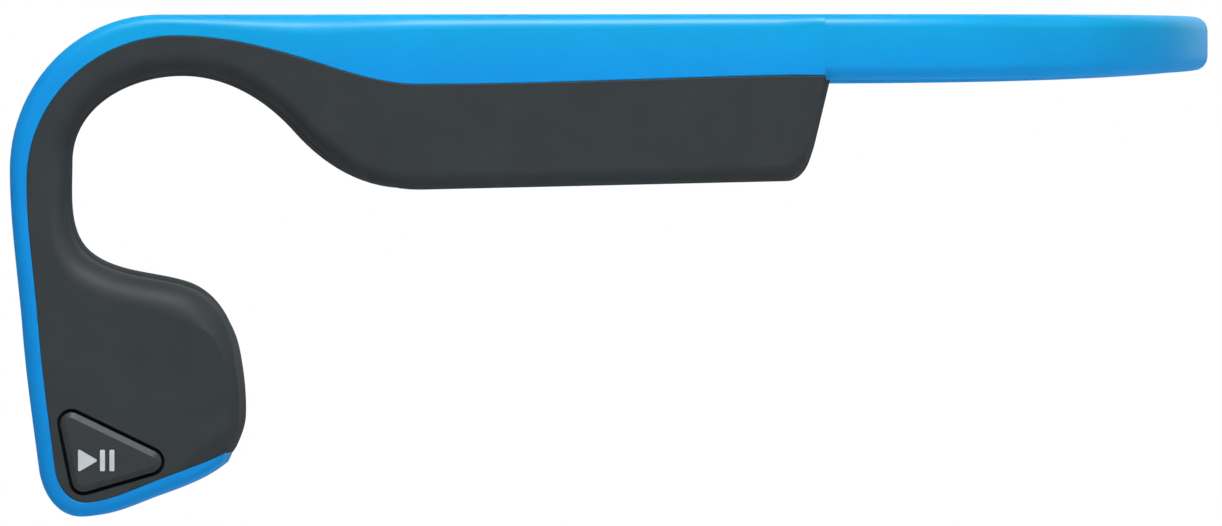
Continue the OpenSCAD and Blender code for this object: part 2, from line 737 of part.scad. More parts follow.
module right_inner_shell() {
    post_base = -pod_half + wall / 2;
    post_up = board_up + main_board_height / 2;
    color(shell_color) on_right() {
        difference() {
            shell_half(in_depths, -1);
            pad_opening();
            underside_cuts();
        }
        for (back = board_posts) under_pod(pod_front + back) translate([0, -post_base, post_up])
            rotate([90, 0, 0]) cylinder(r = post_r, h = board_face - board_thickness - post_base);
    }
}
module left_arm_trim() { on_left() arm_trim(); }
module right_arm_trim() { on_right() arm_trim(); }

module hook_wire() {
    color(metal_color) rod_through(hook_path(hook_wire_depth), hook_sideways, wire_d);
}
module hook_cable() {
    color(seal_color) rod_through(hook_path(hook_cable_depth), hook_sideways, cable_d);
}
module left_hook_wire() { on_left() hook_wire(); }
module right_hook_wire() { on_right() hook_wire(); }
module left_hook_cable() { on_left() hook_cable(); }
module right_hook_cable() { on_right() hook_cable(); }

module ring(outer, inner, h) {
    difference() {
        cylinder(r = outer, h = h);
        translate([0, 0, -1]) cylinder(r = inner, h = h + 2);
    }
}
module exciter_frame() {
    color(seal_color) facing_out(exciter, spring_depth) ring(frame_r, frame_in, frame_depth);
}
module yoke() {
    color(metal_color) facing_out(exciter, seat_depth - yoke_depth) difference() {
        cylinder(r = yoke_r, h = yoke_depth);
        translate([0, 0, -1]) cylinder(r = yoke_in, h = yoke_depth - yoke_wall + 1);
    }
}
module magnet() {
    color(metal_color) facing_out(exciter, seat_depth - yoke_wall - magnet_height)
        cylinder(r = magnet_r, h = magnet_height);
}
module pole_plate() {
    color(metal_color) facing_out(exciter, seat_depth - yoke_depth) cylinder(r = pole_r, h = pole_height);
}
module voice_coil() {
    color(copper_color) facing_out(exciter, spring_depth) ring(coil_out, coil_in, coil_height);
}
// Thin disc with three curved slots that leave three sprung arms
module spring_plate() {
    slot_in = yoke_in + 0.2;
    slot_out = frame_in - 0.2;
    color(metal_color) facing_out(exciter, spring_depth - spring_thickness) difference() {
        cylinder(r = frame_r, h = spring_thickness);
        for (a = [0:120:240]) rotate([0, 0, a]) translate([0, 0, -1])
            rotate_extrude(angle = 100)
                translate([slot_in, 0]) square([slot_out - slot_in, spring_thickness + 2]);
    }
}
module vibration_panel() {
    boss_r = coil_in - 0.4;
    boss_root = 0.4;
    color(shell_color) {
        facing_out([0, 0], panel_face) linear_extrude(panel_thickness) pad_shape(0);
        facing_out(exciter, panel_back - boss_root)
            cylinder(r = boss_r, h = spring_depth - spring_thickness - panel_back + boss_root);
    }
}
module pad() {
    color(shell_color) facing_out([0, 0], pad_face) linear_extrude(pad_thickness) pad_shape(pad_lip);
}
module left_exciter_frame() { on_left() exciter_frame(); }
module right_exciter_frame() { on_right() exciter_frame(); }
module left_yoke() { on_left() yoke(); }
module right_yoke() { on_right() yoke(); }
module left_magnet() { on_left() magnet(); }
module right_magnet() { on_right() magnet(); }
module left_pole_plate() { on_left() pole_plate(); }
module right_pole_plate() { on_right() pole_plate(); }
module left_voice_coil() { on_left() voice_coil(); }
module right_voice_coil() { on_right() voice_coil(); }
module left_spring_plate() { on_left() spring_plate(); }
module right_spring_plate() { on_right() spring_plate(); }
module left_vibration_panel() { on_left() vibration_panel(); }
module right_vibration_panel() { on_right() vibration_panel(); }
module left_pad() { on_left() pad(); }
module right_pad() { on_right() pad(); }

// Cap with a bevelled face, a lip that the seal holds back and a stem that enters the switch
module multifunction_button() {
    bevel = 0.5;
    body = speaker_out + button_proud - bevel - lip_back;
    color(cap_color) on_left() {
        facing_out([0, 0], lip_back) hull() {
            linear_extrude(body) button_shape(cap_r);
            linear_extrude(body + bevel) button_shape(cap_r - bevel);
        }
        facing_out([0, 0], lip_back) linear_extrude(lip_depth) button_shape(cap_r + seal_width);
        facing_out(button_middle, lip_back - stem_length) cylinder(r = stem_r, h = stem_length + 0.1);
    }
}
module button_seal() {
    recess = 0.5;
    color(seal_color) on_left() facing_out([0, 0], seal_back) difference() {
        union() {
            linear_extrude(seal_flange) button_shape(button_corner + seal_lip);
            linear_extrude(seal_flange + wall - recess) button_shape(button_corner - seat_gap);
        }
        translate([0, 0, -1]) linear_extrude(seal_flange + wall + 2) button_shape(cap_r + 2 * seat_gap);
    }
}
module button_switch() {
    color(metal_color) on_left() facing_out(button_middle, switch_back) difference() {
        translate([-switch_size / 2, -switch_size / 2, 0]) cube([switch_size, switch_size, switch_height]);
        translate([0, 0, 0.4]) cylinder(r = stem_r + 2 * seat_gap, h = switch_height);
    }
}
module switch_board() {
    color(board_color) on_left() facing_out(button_middle, switch_back - board_thickness)
        translate([-switch_board_length / 2, -switch_board_height / 2, 0])
            cube([switch_board_length, switch_board_height, board_thickness]);
}
battery_back = 2.6;
module battery() {
    color(cell_color) on_left() under_pod(pod_front + battery_back)
        translate([0, -battery_thickness / 2, wall + travel_gap])
            cube([battery_length, battery_thickness, battery_height]);
}
module battery_board() {
    color(board_color) on_left() under_pod(pod_front + battery_back)
        translate([-board_thickness, -battery_thickness / 2, wall + travel_gap])
            cube([board_thickness, battery_thickness, battery_height]);
}

// Board with its radio chip and two smaller chips
module main_board() {
    chips = [[16, 5, 0.9], [24, 3, 0.7], [3.2, 2.4, 0.6]];
    color(board_color) on_right() under_pod(pod_front + mic_back - 2) {
        translate([0, -board_face, board_up]) cube([main_board_length, board_thickness, main_board_height]);
        for (c = chips) translate([c[0], -board_face - c[2], board_up + main_board_height - c[1] * 0.6])
            cube([c[1], c[2] + 0.1, c[1] * 0.5]);
    }
}
module usb_socket() {
    tongue = 0.6;
    color(metal_color) on_right() under_pod(pod_front + usb_back)
        translate([-usb_length / 2, -key_switch_depth / 2, usb_up]) {
            difference() {
                cube([usb_length, key_switch_depth, usb_height]);
                translate([usb_shell, usb_shell, -1])
                    cube([usb_length - 2 * usb_shell, key_switch_depth - 2 * usb_shell, usb_height]);
            }
            translate([usb_length / 4, key_switch_depth / 2 - tongue / 2, 0.8])
                cube([usb_length / 2, tongue, usb_height - 1]);
        }
}
module usb_cover() {
    plug = 0.35;
    color(seal_color) on_right() under_pod(pod_front + usb_back) {
        translate([-cover_length / 2, -cover_width / 2, 0])
            cube([cover_length - bead_r, cover_width, cover_thickness]);
        translate([-usb_length / 2, -key_switch_depth / 2, cover_thickness - 0.1])
            cube([usb_length, key_switch_depth, plug + 0.1]);
        translate([cover_length / 2 - bead_r, cover_width / 2 - 0.2, bead_up]) rotate([90, 0, 0])
            cylinder(r = bead_r, h = cover_width - 0.4);
    }
}
module volume_button(back) {
    color(shell_color) on_right() under_pod(pod_front + back) {
        translate([0, 0, -key_proud]) linear_extrude(key_proud + flange_up + 0.1)
            slot_shape(volume_length, volume_width);
        translate([0, 0, flange_up]) linear_extrude(flange_height)
            slot_shape(volume_length + 2 * flange_reach, volume_width + 2 * flange_reach);
        translate([0, 0, flange_up]) cylinder(r = key_stem_r, h = flange_height + key_stem);
    }
}
module volume_up_button() { volume_button(volume_up_back); }
module volume_down_button() { volume_button(volume_down_back); }
module volume_switches() {
    length = 3.6;
    color(metal_color) on_right() for (back = [volume_up_back, volume_down_back])
        under_pod(pod_front + back) translate([0, 0, key_switch_up]) difference() {
            translate([-length / 2, -key_switch_depth / 2, 0])
                cube([length, key_switch_depth, key_switch_height]);
            translate([0, 0, -1]) cylinder(r = key_stem_r + 2 * seat_gap, h = key_switch_height);
        }
}
module status_light() {
    color("white") on_right() under_pod(pod_front + light_back) cylinder(r = light_r, h = wall + 1.2);
}
module microphone() {
    color(metal_color) on_right() under_pod(pod_front + mic_back)
        translate([-mic_size[0] / 2, -board_face - mic_size[1], usb_up]) cube(mic_size);
}

neckband_sleeve();
neckband_wire();
neckband_cable();
left_arm_trim();
left_outer_shell();
left_inner_shell();
left_hook_wire();
left_hook_cable();
left_exciter_frame();
left_yoke();
left_magnet();
left_pole_plate();
left_voice_coil();
left_spring_plate();
left_vibration_panel();
left_pad();
multifunction_button();
button_seal();
button_switch();
switch_board();
battery();
battery_board();
right_arm_trim();
right_outer_shell();
right_inner_shell();
right_hook_wire();
right_hook_cable();
right_exciter_frame();
right_yoke();
right_magnet();
right_pole_plate();
right_voice_coil();
right_spring_plate();
right_vibration_panel();
right_pad();
main_board();
usb_socket();
usb_cover();
volume_up_button();
volume_down_button();
volume_switches();
status_light();
microphone();
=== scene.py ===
"""Bone conduction headphones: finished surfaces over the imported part, seen from the wearer's left."""

import json
import math

import bmesh
import bpy
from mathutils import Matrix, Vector


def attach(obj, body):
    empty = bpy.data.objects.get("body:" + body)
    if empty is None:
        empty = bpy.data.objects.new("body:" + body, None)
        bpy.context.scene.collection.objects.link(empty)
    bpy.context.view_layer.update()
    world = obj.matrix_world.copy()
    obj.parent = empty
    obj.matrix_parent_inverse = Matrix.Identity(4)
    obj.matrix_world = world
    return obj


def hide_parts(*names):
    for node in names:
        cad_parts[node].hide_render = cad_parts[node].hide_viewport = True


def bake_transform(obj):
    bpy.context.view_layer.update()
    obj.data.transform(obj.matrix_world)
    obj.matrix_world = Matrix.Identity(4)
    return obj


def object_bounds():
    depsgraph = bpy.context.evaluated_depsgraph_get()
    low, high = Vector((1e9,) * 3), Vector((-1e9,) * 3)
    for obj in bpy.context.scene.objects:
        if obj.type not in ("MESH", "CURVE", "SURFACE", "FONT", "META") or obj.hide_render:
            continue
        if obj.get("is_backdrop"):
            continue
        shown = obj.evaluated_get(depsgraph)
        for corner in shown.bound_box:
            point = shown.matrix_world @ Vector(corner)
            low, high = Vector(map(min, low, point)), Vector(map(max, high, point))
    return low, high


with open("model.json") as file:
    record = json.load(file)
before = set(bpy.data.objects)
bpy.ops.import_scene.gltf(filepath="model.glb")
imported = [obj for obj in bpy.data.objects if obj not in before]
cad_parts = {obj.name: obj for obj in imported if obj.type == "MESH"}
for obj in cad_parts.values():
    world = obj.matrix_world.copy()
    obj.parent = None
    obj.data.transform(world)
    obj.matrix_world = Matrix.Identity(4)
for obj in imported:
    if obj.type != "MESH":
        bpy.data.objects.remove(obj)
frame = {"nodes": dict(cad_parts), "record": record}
CAD_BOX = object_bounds()
NODES = frame["nodes"]
MM = 0.001
LEFT = 1
RIGHT = -1
SIDES = {"left": LEFT, "right": RIGHT}

# Driving sizes in millimetres and degrees, the same as those of the solids
OVERALL_LENGTH = 128.7
OVERALL_HEIGHT = 53
PAD_GAP = 100
TOE_IN = 6
HOOK_WIDTH = 6.1
HOOK_THICKNESS = 5.6
ARCH_RUN = 15.9
ARCH_RISE = 16.4
ARCH_CROWN = 18.4
HOOK_SLOPE = 31
TRIM_SLOPE = 32
RIM_WIDTH = 1.95
RIM_TOP = 2.25
RIM_FOOT = 1.5
SPEAKER_WIDTH = 24.6
SPEAKER_HEIGHT = 26.6
SPEAKER_OUT = 5.5
SPEAKER_IN = 5
FRONT_LEAN = 3.4
FOOT_CORNER = 5
FOOT_CLIMB = 5.7
ARM_LENGTH = 86.6
POD_LENGTH = 42.8
POD_HEIGHT = 18.5
POD_THICKNESS = 9.6
POD_CLIMB = 1
POD_END_SLANT = 13.5
POD_CORNER = 2.6
COVER_FRONT = 7.4
COVER_REAR = 6.5
BAND_FRONT_THICKNESS = 8
BAND_THICKNESS = 4.2
BAND_TAPER = 0.5
BAND_HEIGHT = 6.9
BAND_BACK_HEIGHT = 5.7
BAND_SIDE_REACH = 34
BAND_BACK_REACH = 48
CHANNEL_HEIGHT = 3.2
WIRE_D = 1
WIRE_TAIL = 12
# An eight-sided rod across its flats, as a share of its width
ROD_FLAT = math.cos(math.pi / 8)
WALL = 1.2
POD_ROUND = 1.8
HOOK_ROUND = 2.3
RIM_ROUND = 1.5
TRAVEL_GAP = 0.3
SEAT_GAP = 0.05

# Speaker and its button
EXCITER_FRONT_GAP = 8.45
EXCITER_REAR_GAP = 2.75
EXCITER_FOOT_GAP = 9.15
EXCITER_TOP_GAP = 3.75
EXCITER_ROOM = (
    SPEAKER_WIDTH - EXCITER_FRONT_GAP - EXCITER_REAR_GAP,
    SPEAKER_HEIGHT - EXCITER_FOOT_GAP - EXCITER_TOP_GAP,
)
EXCITER = (EXCITER_FRONT_GAP + EXCITER_ROOM[0] / 2, EXCITER_FOOT_GAP + EXCITER_ROOM[1] / 2)
PAD_LENGTH = 13.6
PAD_HEIGHT = 13.2
PAD_THICKNESS = 2.9
PAD_CORNER = 4.2
PANEL_THICKNESS = 1.4
PAD_CENTRE = (EXCITER[0] - 0.6, EXCITER[1] - 1.3)
PANEL_GAP = TRAVEL_GAP + 0.05
PAD_LIP = PANEL_GAP + 0.5
PANEL_FACE = -(SPEAKER_IN - WALL) - 0.1 - PANEL_THICKNESS
PAD_FACE = PANEL_FACE - PAD_THICKNESS
BUTTON_CORNER = 1.55
SEAL_WIDTH = 0.55
BUTTON_PROUD = 0.5
BUTTON_FOOT = (FRONT_LEAN + RIM_WIDTH + 2.9, RIM_FOOT + 2.3)
BUTTON_CORNERS = (
    BUTTON_FOOT,
    (BUTTON_FOOT[0] - 1.25, BUTTON_FOOT[1] + 6.05),
    (BUTTON_FOOT[0] + 7.1, BUTTON_FOOT[1] + 2.05),
)

# Underside of the right pod, measured back from the pod's front
MIC_BACK = 2.5
LIGHT_BACK = 6
LIGHT_R = 0.6
VOLUME_BACKS = {"up": 12.1, "down": 21.6}
VOLUME_LENGTH = 7
VOLUME_WIDTH = 3
KEY_PROUD = 0.15
USB_BACK = 32
COVER_LENGTH = 10.6
COVER_WIDTH = 4.4
COVER_THICKNESS = 0.8
BEAD_R = 0.7
SOCKET_OPENING = (8, 3.2)
PLUG_SIZE = (7.4, 2.6)

# Form of an arm: three edges in the side view, with a key [back, up, heading] at the same eleven places
POD_FRONT = ARM_LENGTH - POD_LENGTH
POD_SLOPE = math.atan(POD_CLIMB / POD_LENGTH)
POD_FLOOR = OVERALL_HEIGHT - POD_HEIGHT
POD_END_UP = POD_FLOOR + POD_CLIMB + POD_CORNER
POD_END_RISE = OVERALL_HEIGHT - COVER_REAR - POD_END_UP
POD_END_BACK = ARM_LENGTH - POD_END_RISE * math.tan(math.radians(POD_END_SLANT))
POD_CORNER_BACK = POD_END_BACK - POD_CORNER
FRONT_MID = FRONT_LEAN * 0.45
CORNER_RUN = FOOT_CORNER * 0.9


def floor_up(back):
    """Height of the pod's underside."""
    return POD_FLOOR + (back - POD_FRONT) * math.tan(POD_SLOPE)


RIM_KEYS = [
    (ARM_LENGTH, OVERALL_HEIGHT, 180),
    (POD_CORNER_BACK, OVERALL_HEIGHT, 180),
    (POD_FRONT, OVERALL_HEIGHT, 180),
    (TRIM_SLOPE, OVERALL_HEIGHT, 180),
    (ARCH_RUN, OVERALL_HEIGHT, 180),
    (0, OVERALL_HEIGHT - ARCH_RISE, 270),
    (FRONT_MID, SPEAKER_HEIGHT - 7, 275),
    (FRONT_LEAN, FOOT_CORNER, 277.5),
    (FRONT_LEAN + CORNER_RUN, 0, 0),
    (SPEAKER_WIDTH - 9.3, FOOT_CLIMB - 3.6, 20),
    (SPEAKER_WIDTH - 1.9, FOOT_CLIMB, 40),
]
SPLIT_KEYS = [
    (ARM_LENGTH, OVERALL_HEIGHT - COVER_REAR, 180),
    (POD_CORNER_BACK, OVERALL_HEIGHT - COVER_REAR, 181),
    (POD_FRONT, OVERALL_HEIGHT - COVER_FRONT, 180),
    (TRIM_SLOPE, OVERALL_HEIGHT - (COVER_FRONT + RIM_TOP) / 2, 163),
    (ARCH_CROWN - 0.6, OVERALL_HEIGHT - RIM_TOP, 180),
    (RIM_WIDTH, OVERALL_HEIGHT - ARCH_RISE - 1.2, 270),
    (FRONT_MID + RIM_WIDTH - 0.1, SPEAKER_HEIGHT - 6.7, 275),
    (FRONT_LEAN + RIM_WIDTH - 0.1, FOOT_CORNER, 277),
    (FRONT_LEAN + CORNER_RUN + 0.8, RIM_FOOT, 5),
    (SPEAKER_WIDTH - 8.7, FOOT_CLIMB - 1.9, 21),
    (SPEAKER_WIDTH - 1.5, FOOT_CLIMB + 1, 26),
]
INNER_KEYS = [
    (POD_END_BACK, POD_END_UP, 270 - POD_END_SLANT),
    (POD_CORNER_BACK, floor_up(POD_CORNER_BACK), 180 + math.degrees(POD_SLOPE)),
    (POD_FRONT, POD_FLOOR, 180 + math.degrees(POD_SLOPE)),
    (HOOK_SLOPE, (OVERALL_HEIGHT - HOOK_WIDTH + POD_FLOOR) / 2, 132),
    (ARCH_CROWN, OVERALL_HEIGHT - HOOK_WIDTH, 180),
    (HOOK_WIDTH, OVERALL_HEIGHT - ARCH_RISE + 0.8, 270),
    (HOOK_WIDTH + 2.4, SPEAKER_HEIGHT + 0.6, 325),
    (SPEAKER_WIDTH - 5.8, SPEAKER_HEIGHT - 2.4, 342),
    (SPEAKER_WIDTH - 0.6, SPEAKER_HEIGHT - 9.2, 280),
    (SPEAKER_WIDTH, FOOT_CLIMB + 5, 268),
    (SPEAKER_WIDTH - 0.9, FOOT_CLIMB + 1.7, 245),
]

# Half thicknesses and edge rounds at the same eleven places
POD_HALF = POD_THICKNESS / 2
HOOK_HALF = HOOK_THICKNESS / 2
SLOPE_HALF = (POD_HALF + HOOK_HALF) / 2
BAND_HALF = BAND_THICKNESS / 2
NECK_OUT = HOOK_HALF + (SPEAKER_OUT - HOOK_HALF) * 0.6
NECK_IN = HOOK_HALF + (SPEAKER_IN - HOOK_HALF) * 0.6
POD_END_HALVES = [POD_HALF - 0.6, POD_HALF]
COVER_END_HALVES = [BAND_FRONT_THICKNESS / 2, POD_HALF - 0.2]
MIDDLE_HALVES = [POD_HALF, SLOPE_HALF, HOOK_HALF, HOOK_HALF]
OUT_SPEAKER = [NECK_OUT, SPEAKER_OUT, SPEAKER_OUT, SPEAKER_OUT, SPEAKER_OUT - 1]
IN_SPEAKER = [NECK_IN, SPEAKER_IN, SPEAKER_IN, SPEAKER_IN, SPEAKER_IN - 1]
OUT_DEPTHS = POD_END_HALVES + MIDDLE_HALVES + OUT_SPEAKER
IN_DEPTHS = POD_END_HALVES + MIDDLE_HALVES + IN_SPEAKER
RIM_OUT_DEPTHS = COVER_END_HALVES + MIDDLE_HALVES + OUT_SPEAKER
RIM_IN_DEPTHS = COVER_END_HALVES + MIDDLE_HALVES + IN_SPEAKER
# The shells' edge falls away over a wider strip at the speaker's top and as a crisp chamfer at its rear
EDGE_RUNS = [POD_ROUND, POD_ROUND, POD_ROUND, HOOK_ROUND, HOOK_ROUND, HOOK_ROUND, 3, 3.6, 1.3, 1.3, 1.3]
EDGE_DROPS = [POD_ROUND, POD_ROUND, POD_ROUND, HOOK_ROUND, HOOK_ROUND, HOOK_ROUND, 3, 3.4, 1.6, 1.5, 1.3]
EDGE_FLATS = [0, 0, 0, 0, 0, 0, 0, 0, 0.8, 0.85, 0.7]
RIM_ROUNDS = [1.2, RIM_ROUND, POD_ROUND, HOOK_ROUND] + [RIM_ROUND] * 4 + [1.2, 1.2, 0.8]
SEAM_ROUND = 0.14
STATION_STEPS = [14, 8, 14, 20, 26, 16, 18, 20, 12, 12]
BAND_STEPS = 56
# Ends of a stretch of the band, as shares of the way from the pod to the back
BEND_FRONT = 0.05
BEND_BACK = 0.8
EDGE_SEGMENTS = 9
HOLLOW_SEGMENTS = 4


def ray(degrees):
    """Unit vector at an angle in the plane."""
    return Vector((math.cos(math.radians(degrees)), math.sin(math.radians(degrees))))


def ease(f):
    """Smooth step from 0 to 1."""
    return f * f * (3 - 2 * f)


def cubic(p, f):
    """Point on the curve through four poles."""
    g = 1 - f
    return g * g * g * p[0] + 3 * g * g * f * p[1] + 3 * g * f * f * p[2] + f * f * f * p[3]


def cubic_run(p, f):
    """Direction of travel on the curve through four poles."""
    g = 1 - f
    return g * g * (p[1] - p[0]) + 2 * g * f * (p[2] - p[1]) + f * f * (p[3] - p[2])


def line_at(keys, t):
    """Point of an edge, where whole numbers are its keys."""
    k = min(int(t), len(keys) - 2)
    a = Vector(keys[k][:2])
    b = Vector(keys[k + 1][:2])
    turn = abs(keys[k + 1][2] - keys[k][2]) % 360
    turn = min(turn, 360 - turn)
    reach = (b - a).length / (3 * math.cos(math.radians(turn / 4)) ** 2)
    return cubic((a, a + reach * ray(keys[k][2]), b - reach * ray(keys[k + 1][2]), b), t - k)


def lean(values, k):
    """Slope of a list at a key: none at its ends and turning points."""
    if k == 0 or k == len(values) - 1:
        return 0
    before = values[k] - values[k - 1]
    after = values[k + 1] - values[k]
    return (before + after) / 2 if before * after > 0 else 0


def value_at(values, t):
    """Value of a list between its keys, in one smooth sweep."""
    k = min(int(t), len(values) - 2)
    a = values[k]
    b = values[k + 1]
    return cubic((a, a + lean(values, k) / 3, b - lean(values, k + 1) / 3, b), t - k)


def right_of(keys, t):
    """Unit vector to the right of travel along an edge."""
    d = line_at(keys, min(t + 0.01, len(keys) - 1)) - line_at(keys, max(t - 0.01, 0))
    return Vector((d.y, -d.x)).normalized()


STATIONS = [k + j / n for k, n in enumerate(STATION_STEPS) for j in range(n)] + [len(STATION_STEPS)]

# Places in the part's own frame, in metres
TOE = math.radians(TOE_IN)
ARM_Y = PAD_GAP / 2 - PAD_FACE * math.cos(TOE) - PAD_CENTRE[0] * math.sin(TOE)


def arm_point(side, back, depth, up):
    """Point of an arm, with its depth measured away from the head."""
    x = back * math.cos(TOE) - depth * math.sin(TOE) - OVERALL_LENGTH / 2
    y = -back * math.sin(TOE) - depth * math.cos(TOE) - ARM_Y
    return Vector((x, y * side, up - OVERALL_HEIGHT / 2)) * MM


def under_pod(back, along, depth, into):
    """Point of the right arm, from a place on its pod's underside."""
    x = POD_FRONT + back
    x_at = x + along * math.cos(POD_SLOPE) - into * math.sin(POD_SLOPE)
    up_at = floor_up(x) + along * math.sin(POD_SLOPE) + into * math.cos(POD_SLOPE)
    return arm_point(RIGHT, x_at, depth, up_at)


BAND_START = Vector((
    ARM_LENGTH * math.cos(TOE) - OVERALL_LENGTH / 2,
    -ARM_Y - ARM_LENGTH * math.sin(TOE),
))
BAND_END = Vector((OVERALL_LENGTH / 2 - BAND_HALF, 0))
BAND_POLES = (
    BAND_START,
    BAND_START + BAND_SIDE_REACH * ray(-TOE_IN),
    BAND_END - Vector((0, BAND_BACK_REACH)),
    BAND_END,
)


def band_point(side, s, outwards, up):
    """Point of half the band, from its pod at s = 0 to the back of the head at s = 1."""
    run = cubic_run(BAND_POLES, s)
    out = Vector((run.y, -run.x)).normalized()
    p = cubic(BAND_POLES, s) + outwards * out
    return Vector((p.x, p.y * side, up - OVERALL_HEIGHT / 2)) * MM


# Meshes
def make_object(name, points, faces, material, slot, crease=40):
    """Closed mesh with smooth faces, creased where it turns by more than an angle."""
    mesh = bpy.data.meshes.new(name)
    mesh.from_pydata([tuple(p) for p in points], [], faces)
    obj = bpy.data.objects.new(name, mesh)
    bpy.context.scene.collection.objects.link(obj)
    obj.data.materials.append(material)
    tidy_mesh(obj, crease)
    return obj


def tidy_mesh(obj, crease=40):
    """Joins doubled points, turns all faces outwards and sets the creases."""
    work = bmesh.new()
    work.from_mesh(obj.data)
    bmesh.ops.remove_doubles(work, verts=work.verts, dist=1e-7)
    bmesh.ops.dissolve_degenerate(work, edges=work.edges, dist=1e-8)
    bmesh.ops.recalc_face_normals(work, faces=work.faces)
    work.to_mesh(obj.data)
    work.free()
    for face in obj.data.polygons:
        face.use_smooth = True
    obj.data.set_sharp_from_angle(angle=math.radians(crease))
    if "even" not in obj.modifiers:
        even = obj.modifiers.new("even", "WEIGHTED_NORMAL")
        even.keep_sharp = True
        even.weight = 60


def tube(rings):
    """Points and faces of a closed skin through rings, capped at both ends."""
    size = len(rings[0])
    points = [p for ring in rings for p in ring]
    faces = []
    for i in range(len(rings) - 1):
        for j in range(size):
            k = (j + 1) % size
            faces.append((i * size + j, i * size + k, (i + 1) * size + k, (i + 1) * size + j))
    faces.append(tuple(range(size)))
    faces.append(tuple((len(rings) - 1) * size + j for j in reversed(range(size))))
    return points, faces


def open_shell(outer, inner, first, last):
    """Points and faces of a shell that is open along one side, hollow from one station to another."""
    m = len(outer[0])
    k = len(inner[0])
    n = len(outer)
    points = [p for section in outer for p in section] + [p for section in inner for p in section]

    def o(i, j):
        return i * m + j

    def h(i, j):
        return n * m + i * k + j

    faces = []
    for i in range(n - 1):
        for j in range(m - 1):
            faces.append((o(i, j), o(i, j + 1), o(i + 1, j + 1), o(i + 1, j)))
        if first <= i < last:
            for j in range(k - 1):
                faces.append((h(i, j), h(i + 1, j), h(i + 1, j + 1), h(i, j + 1)))
            faces.append((o(i, 0), o(i + 1, 0), h(i + 1, 0), h(i, 0)))
            faces.append((o(i, m - 1), h(i, k - 1), h(i + 1, k - 1), o(i + 1, m - 1)))
        elif i == first - 1:
            faces.append((o(i, 0), o(i + 1, 0), h(first, 0), h(first, k - 1), o(i + 1, m - 1), o(i, m - 1)))
        elif i == last:
            faces.append((o(i, 0), o(i + 1, 0), o(i + 1, m - 1), o(i, m - 1), h(last, k - 1), h(last, 0)))
        else:
            faces.append((o(i, 0), o(i + 1, 0), o(i + 1, m - 1), o(i, m - 1)))
    faces.append(tuple(h(first, j) for j in range(k)))
    faces.append(tuple(h(last, j) for j in range(k)))
    faces.append(tuple(o(0, j) for j in range(m)))
    faces.append(tuple(o(n - 1, j) for j in range(m)))
    return points, faces


def cut(obj, cutter):
    """Takes a cutter's form out of an object for good, and deletes the cutter."""
    modifier = obj.modifiers.new("cut", "BOOLEAN")
    modifier.operation = "DIFFERENCE"
    modifier.solver = "EXACT"
    modifier.object = cutter
    cutter.modifiers.clear()
    for other in list(obj.modifiers):
        if other.name == "even":
            obj.modifiers.remove(other)
    bpy.context.view_layer.update()
    result = bpy.data.meshes.new_from_object(obj.evaluated_get(bpy.context.evaluated_depsgraph_get()))
    obj.modifiers.clear()
    old = obj.data
    obj.data = result
    bpy.data.meshes.remove(old)
    bpy.data.objects.remove(cutter)
    tidy_mesh(obj)


def rounded_outline(corners, r, segments=8):
    """Outline with round corners about corner centres given in turn."""
    middle = sum((Vector(c) for c in corners), Vector((0, 0))) / len(corners)
    count = len(corners)
    points = []
    for i in range(count):
        before = Vector(corners[i]) - Vector(corners[i - 1])
        after = Vector(corners[(i + 1) % count]) - Vector(corners[i])
        turns = []
        for run in (before, after):
            side = Vector((run.y, -run.x)).normalized()
            if side.dot(Vector(corners[i]) - middle) < 0:
                side = -side
            turns.append(math.atan2(side.y, side.x))
        swing = (turns[1] - turns[0] + math.pi) % (2 * math.pi) - math.pi
        for j in range(segments + 1):
            angle = turns[0] + swing * j / segments
            points.append(Vector(corners[i]) + r * Vector((math.cos(angle), math.sin(angle))))
    return points


def box_corners(centre, length, height, r):
    """Corner centres of a rounded rectangle."""
    x = length / 2 - r
    z = height / 2 - r
    return [(centre[0] + i * x, centre[1] + j * z) for i, j in ((-1, -1), (1, -1), (1, 1), (-1, 1))]


def slot_outline(length, width):
    """Outline with round ends about the origin."""
    segments = 12
    x = (length - width) / 2
    points = []
    for end in (1, -1):
        for j in range(segments + 1):
            points.append(Vector((end * x, 0)) + width / 2 * end * ray(-90 + 180 * j / segments))
    return points


def stack(outline_at, place, levels):
    """Rings of an outline at several levels, each an amount of shrink and a height."""
    return [[place(p, height) for p in outline_at(shrink)] for shrink, height in levels]


def round_over(r, height):
    """Levels of a rounded top edge: shrink and height from the side to the flat."""
    segments = 6
    levels = []
    for j in range(segments + 1):
        angle = math.radians(90 * j / segments)
        levels.append((r * (1 - math.cos(angle)), height - r * (1 - math.sin(angle))))
    return levels


# Materials
def new_material(name):
    """Material with a principled shader, and the nodes and links to add to it."""
    material = bpy.data.materials.new(name)
    material.use_nodes = True
    tree = material.node_tree
    return material, tree, tree.nodes["Principled BSDF"]


def noise(tree, scale, detail=3):
    """Noise in object space, with its scale given as the size of a grain in millimetres."""
    place = tree.nodes.new("ShaderNodeTexCoord")
    grain = tree.nodes.new("ShaderNodeTexNoise")
    grain.inputs["Scale"].default_value = 1 / (scale * MM)
    grain.inputs["Detail"].default_value = detail
    tree.links.new(place.outputs["Object"], grain.inputs["Vector"])
    return grain


def ramp(tree, source, low, high):
    """Colour ramp from low to high over the middle stretch of a factor."""
    node = tree.nodes.new("ShaderNodeValToRGB")
    node.color_ramp.elements[0].position = 0.35
    node.color_ramp.elements[1].position = 0.65
    node.color_ramp.elements[0].color = (*low, 1)
    node.color_ramp.elements[1].color = (*high, 1)
    tree.links.new(source, node.inputs["Fac"])
    return node


def spread(tree, source, low, high):
    """Number that runs from low to high with a factor."""
    node = tree.nodes.new("ShaderNodeMapRange")
    node.inputs["From Min"].default_value = 0.3
    node.inputs["From Max"].default_value = 0.7
    node.inputs["To Min"].default_value = low
    node.inputs["To Max"].default_value = high
    tree.links.new(source, node.inputs["Value"])
    return node


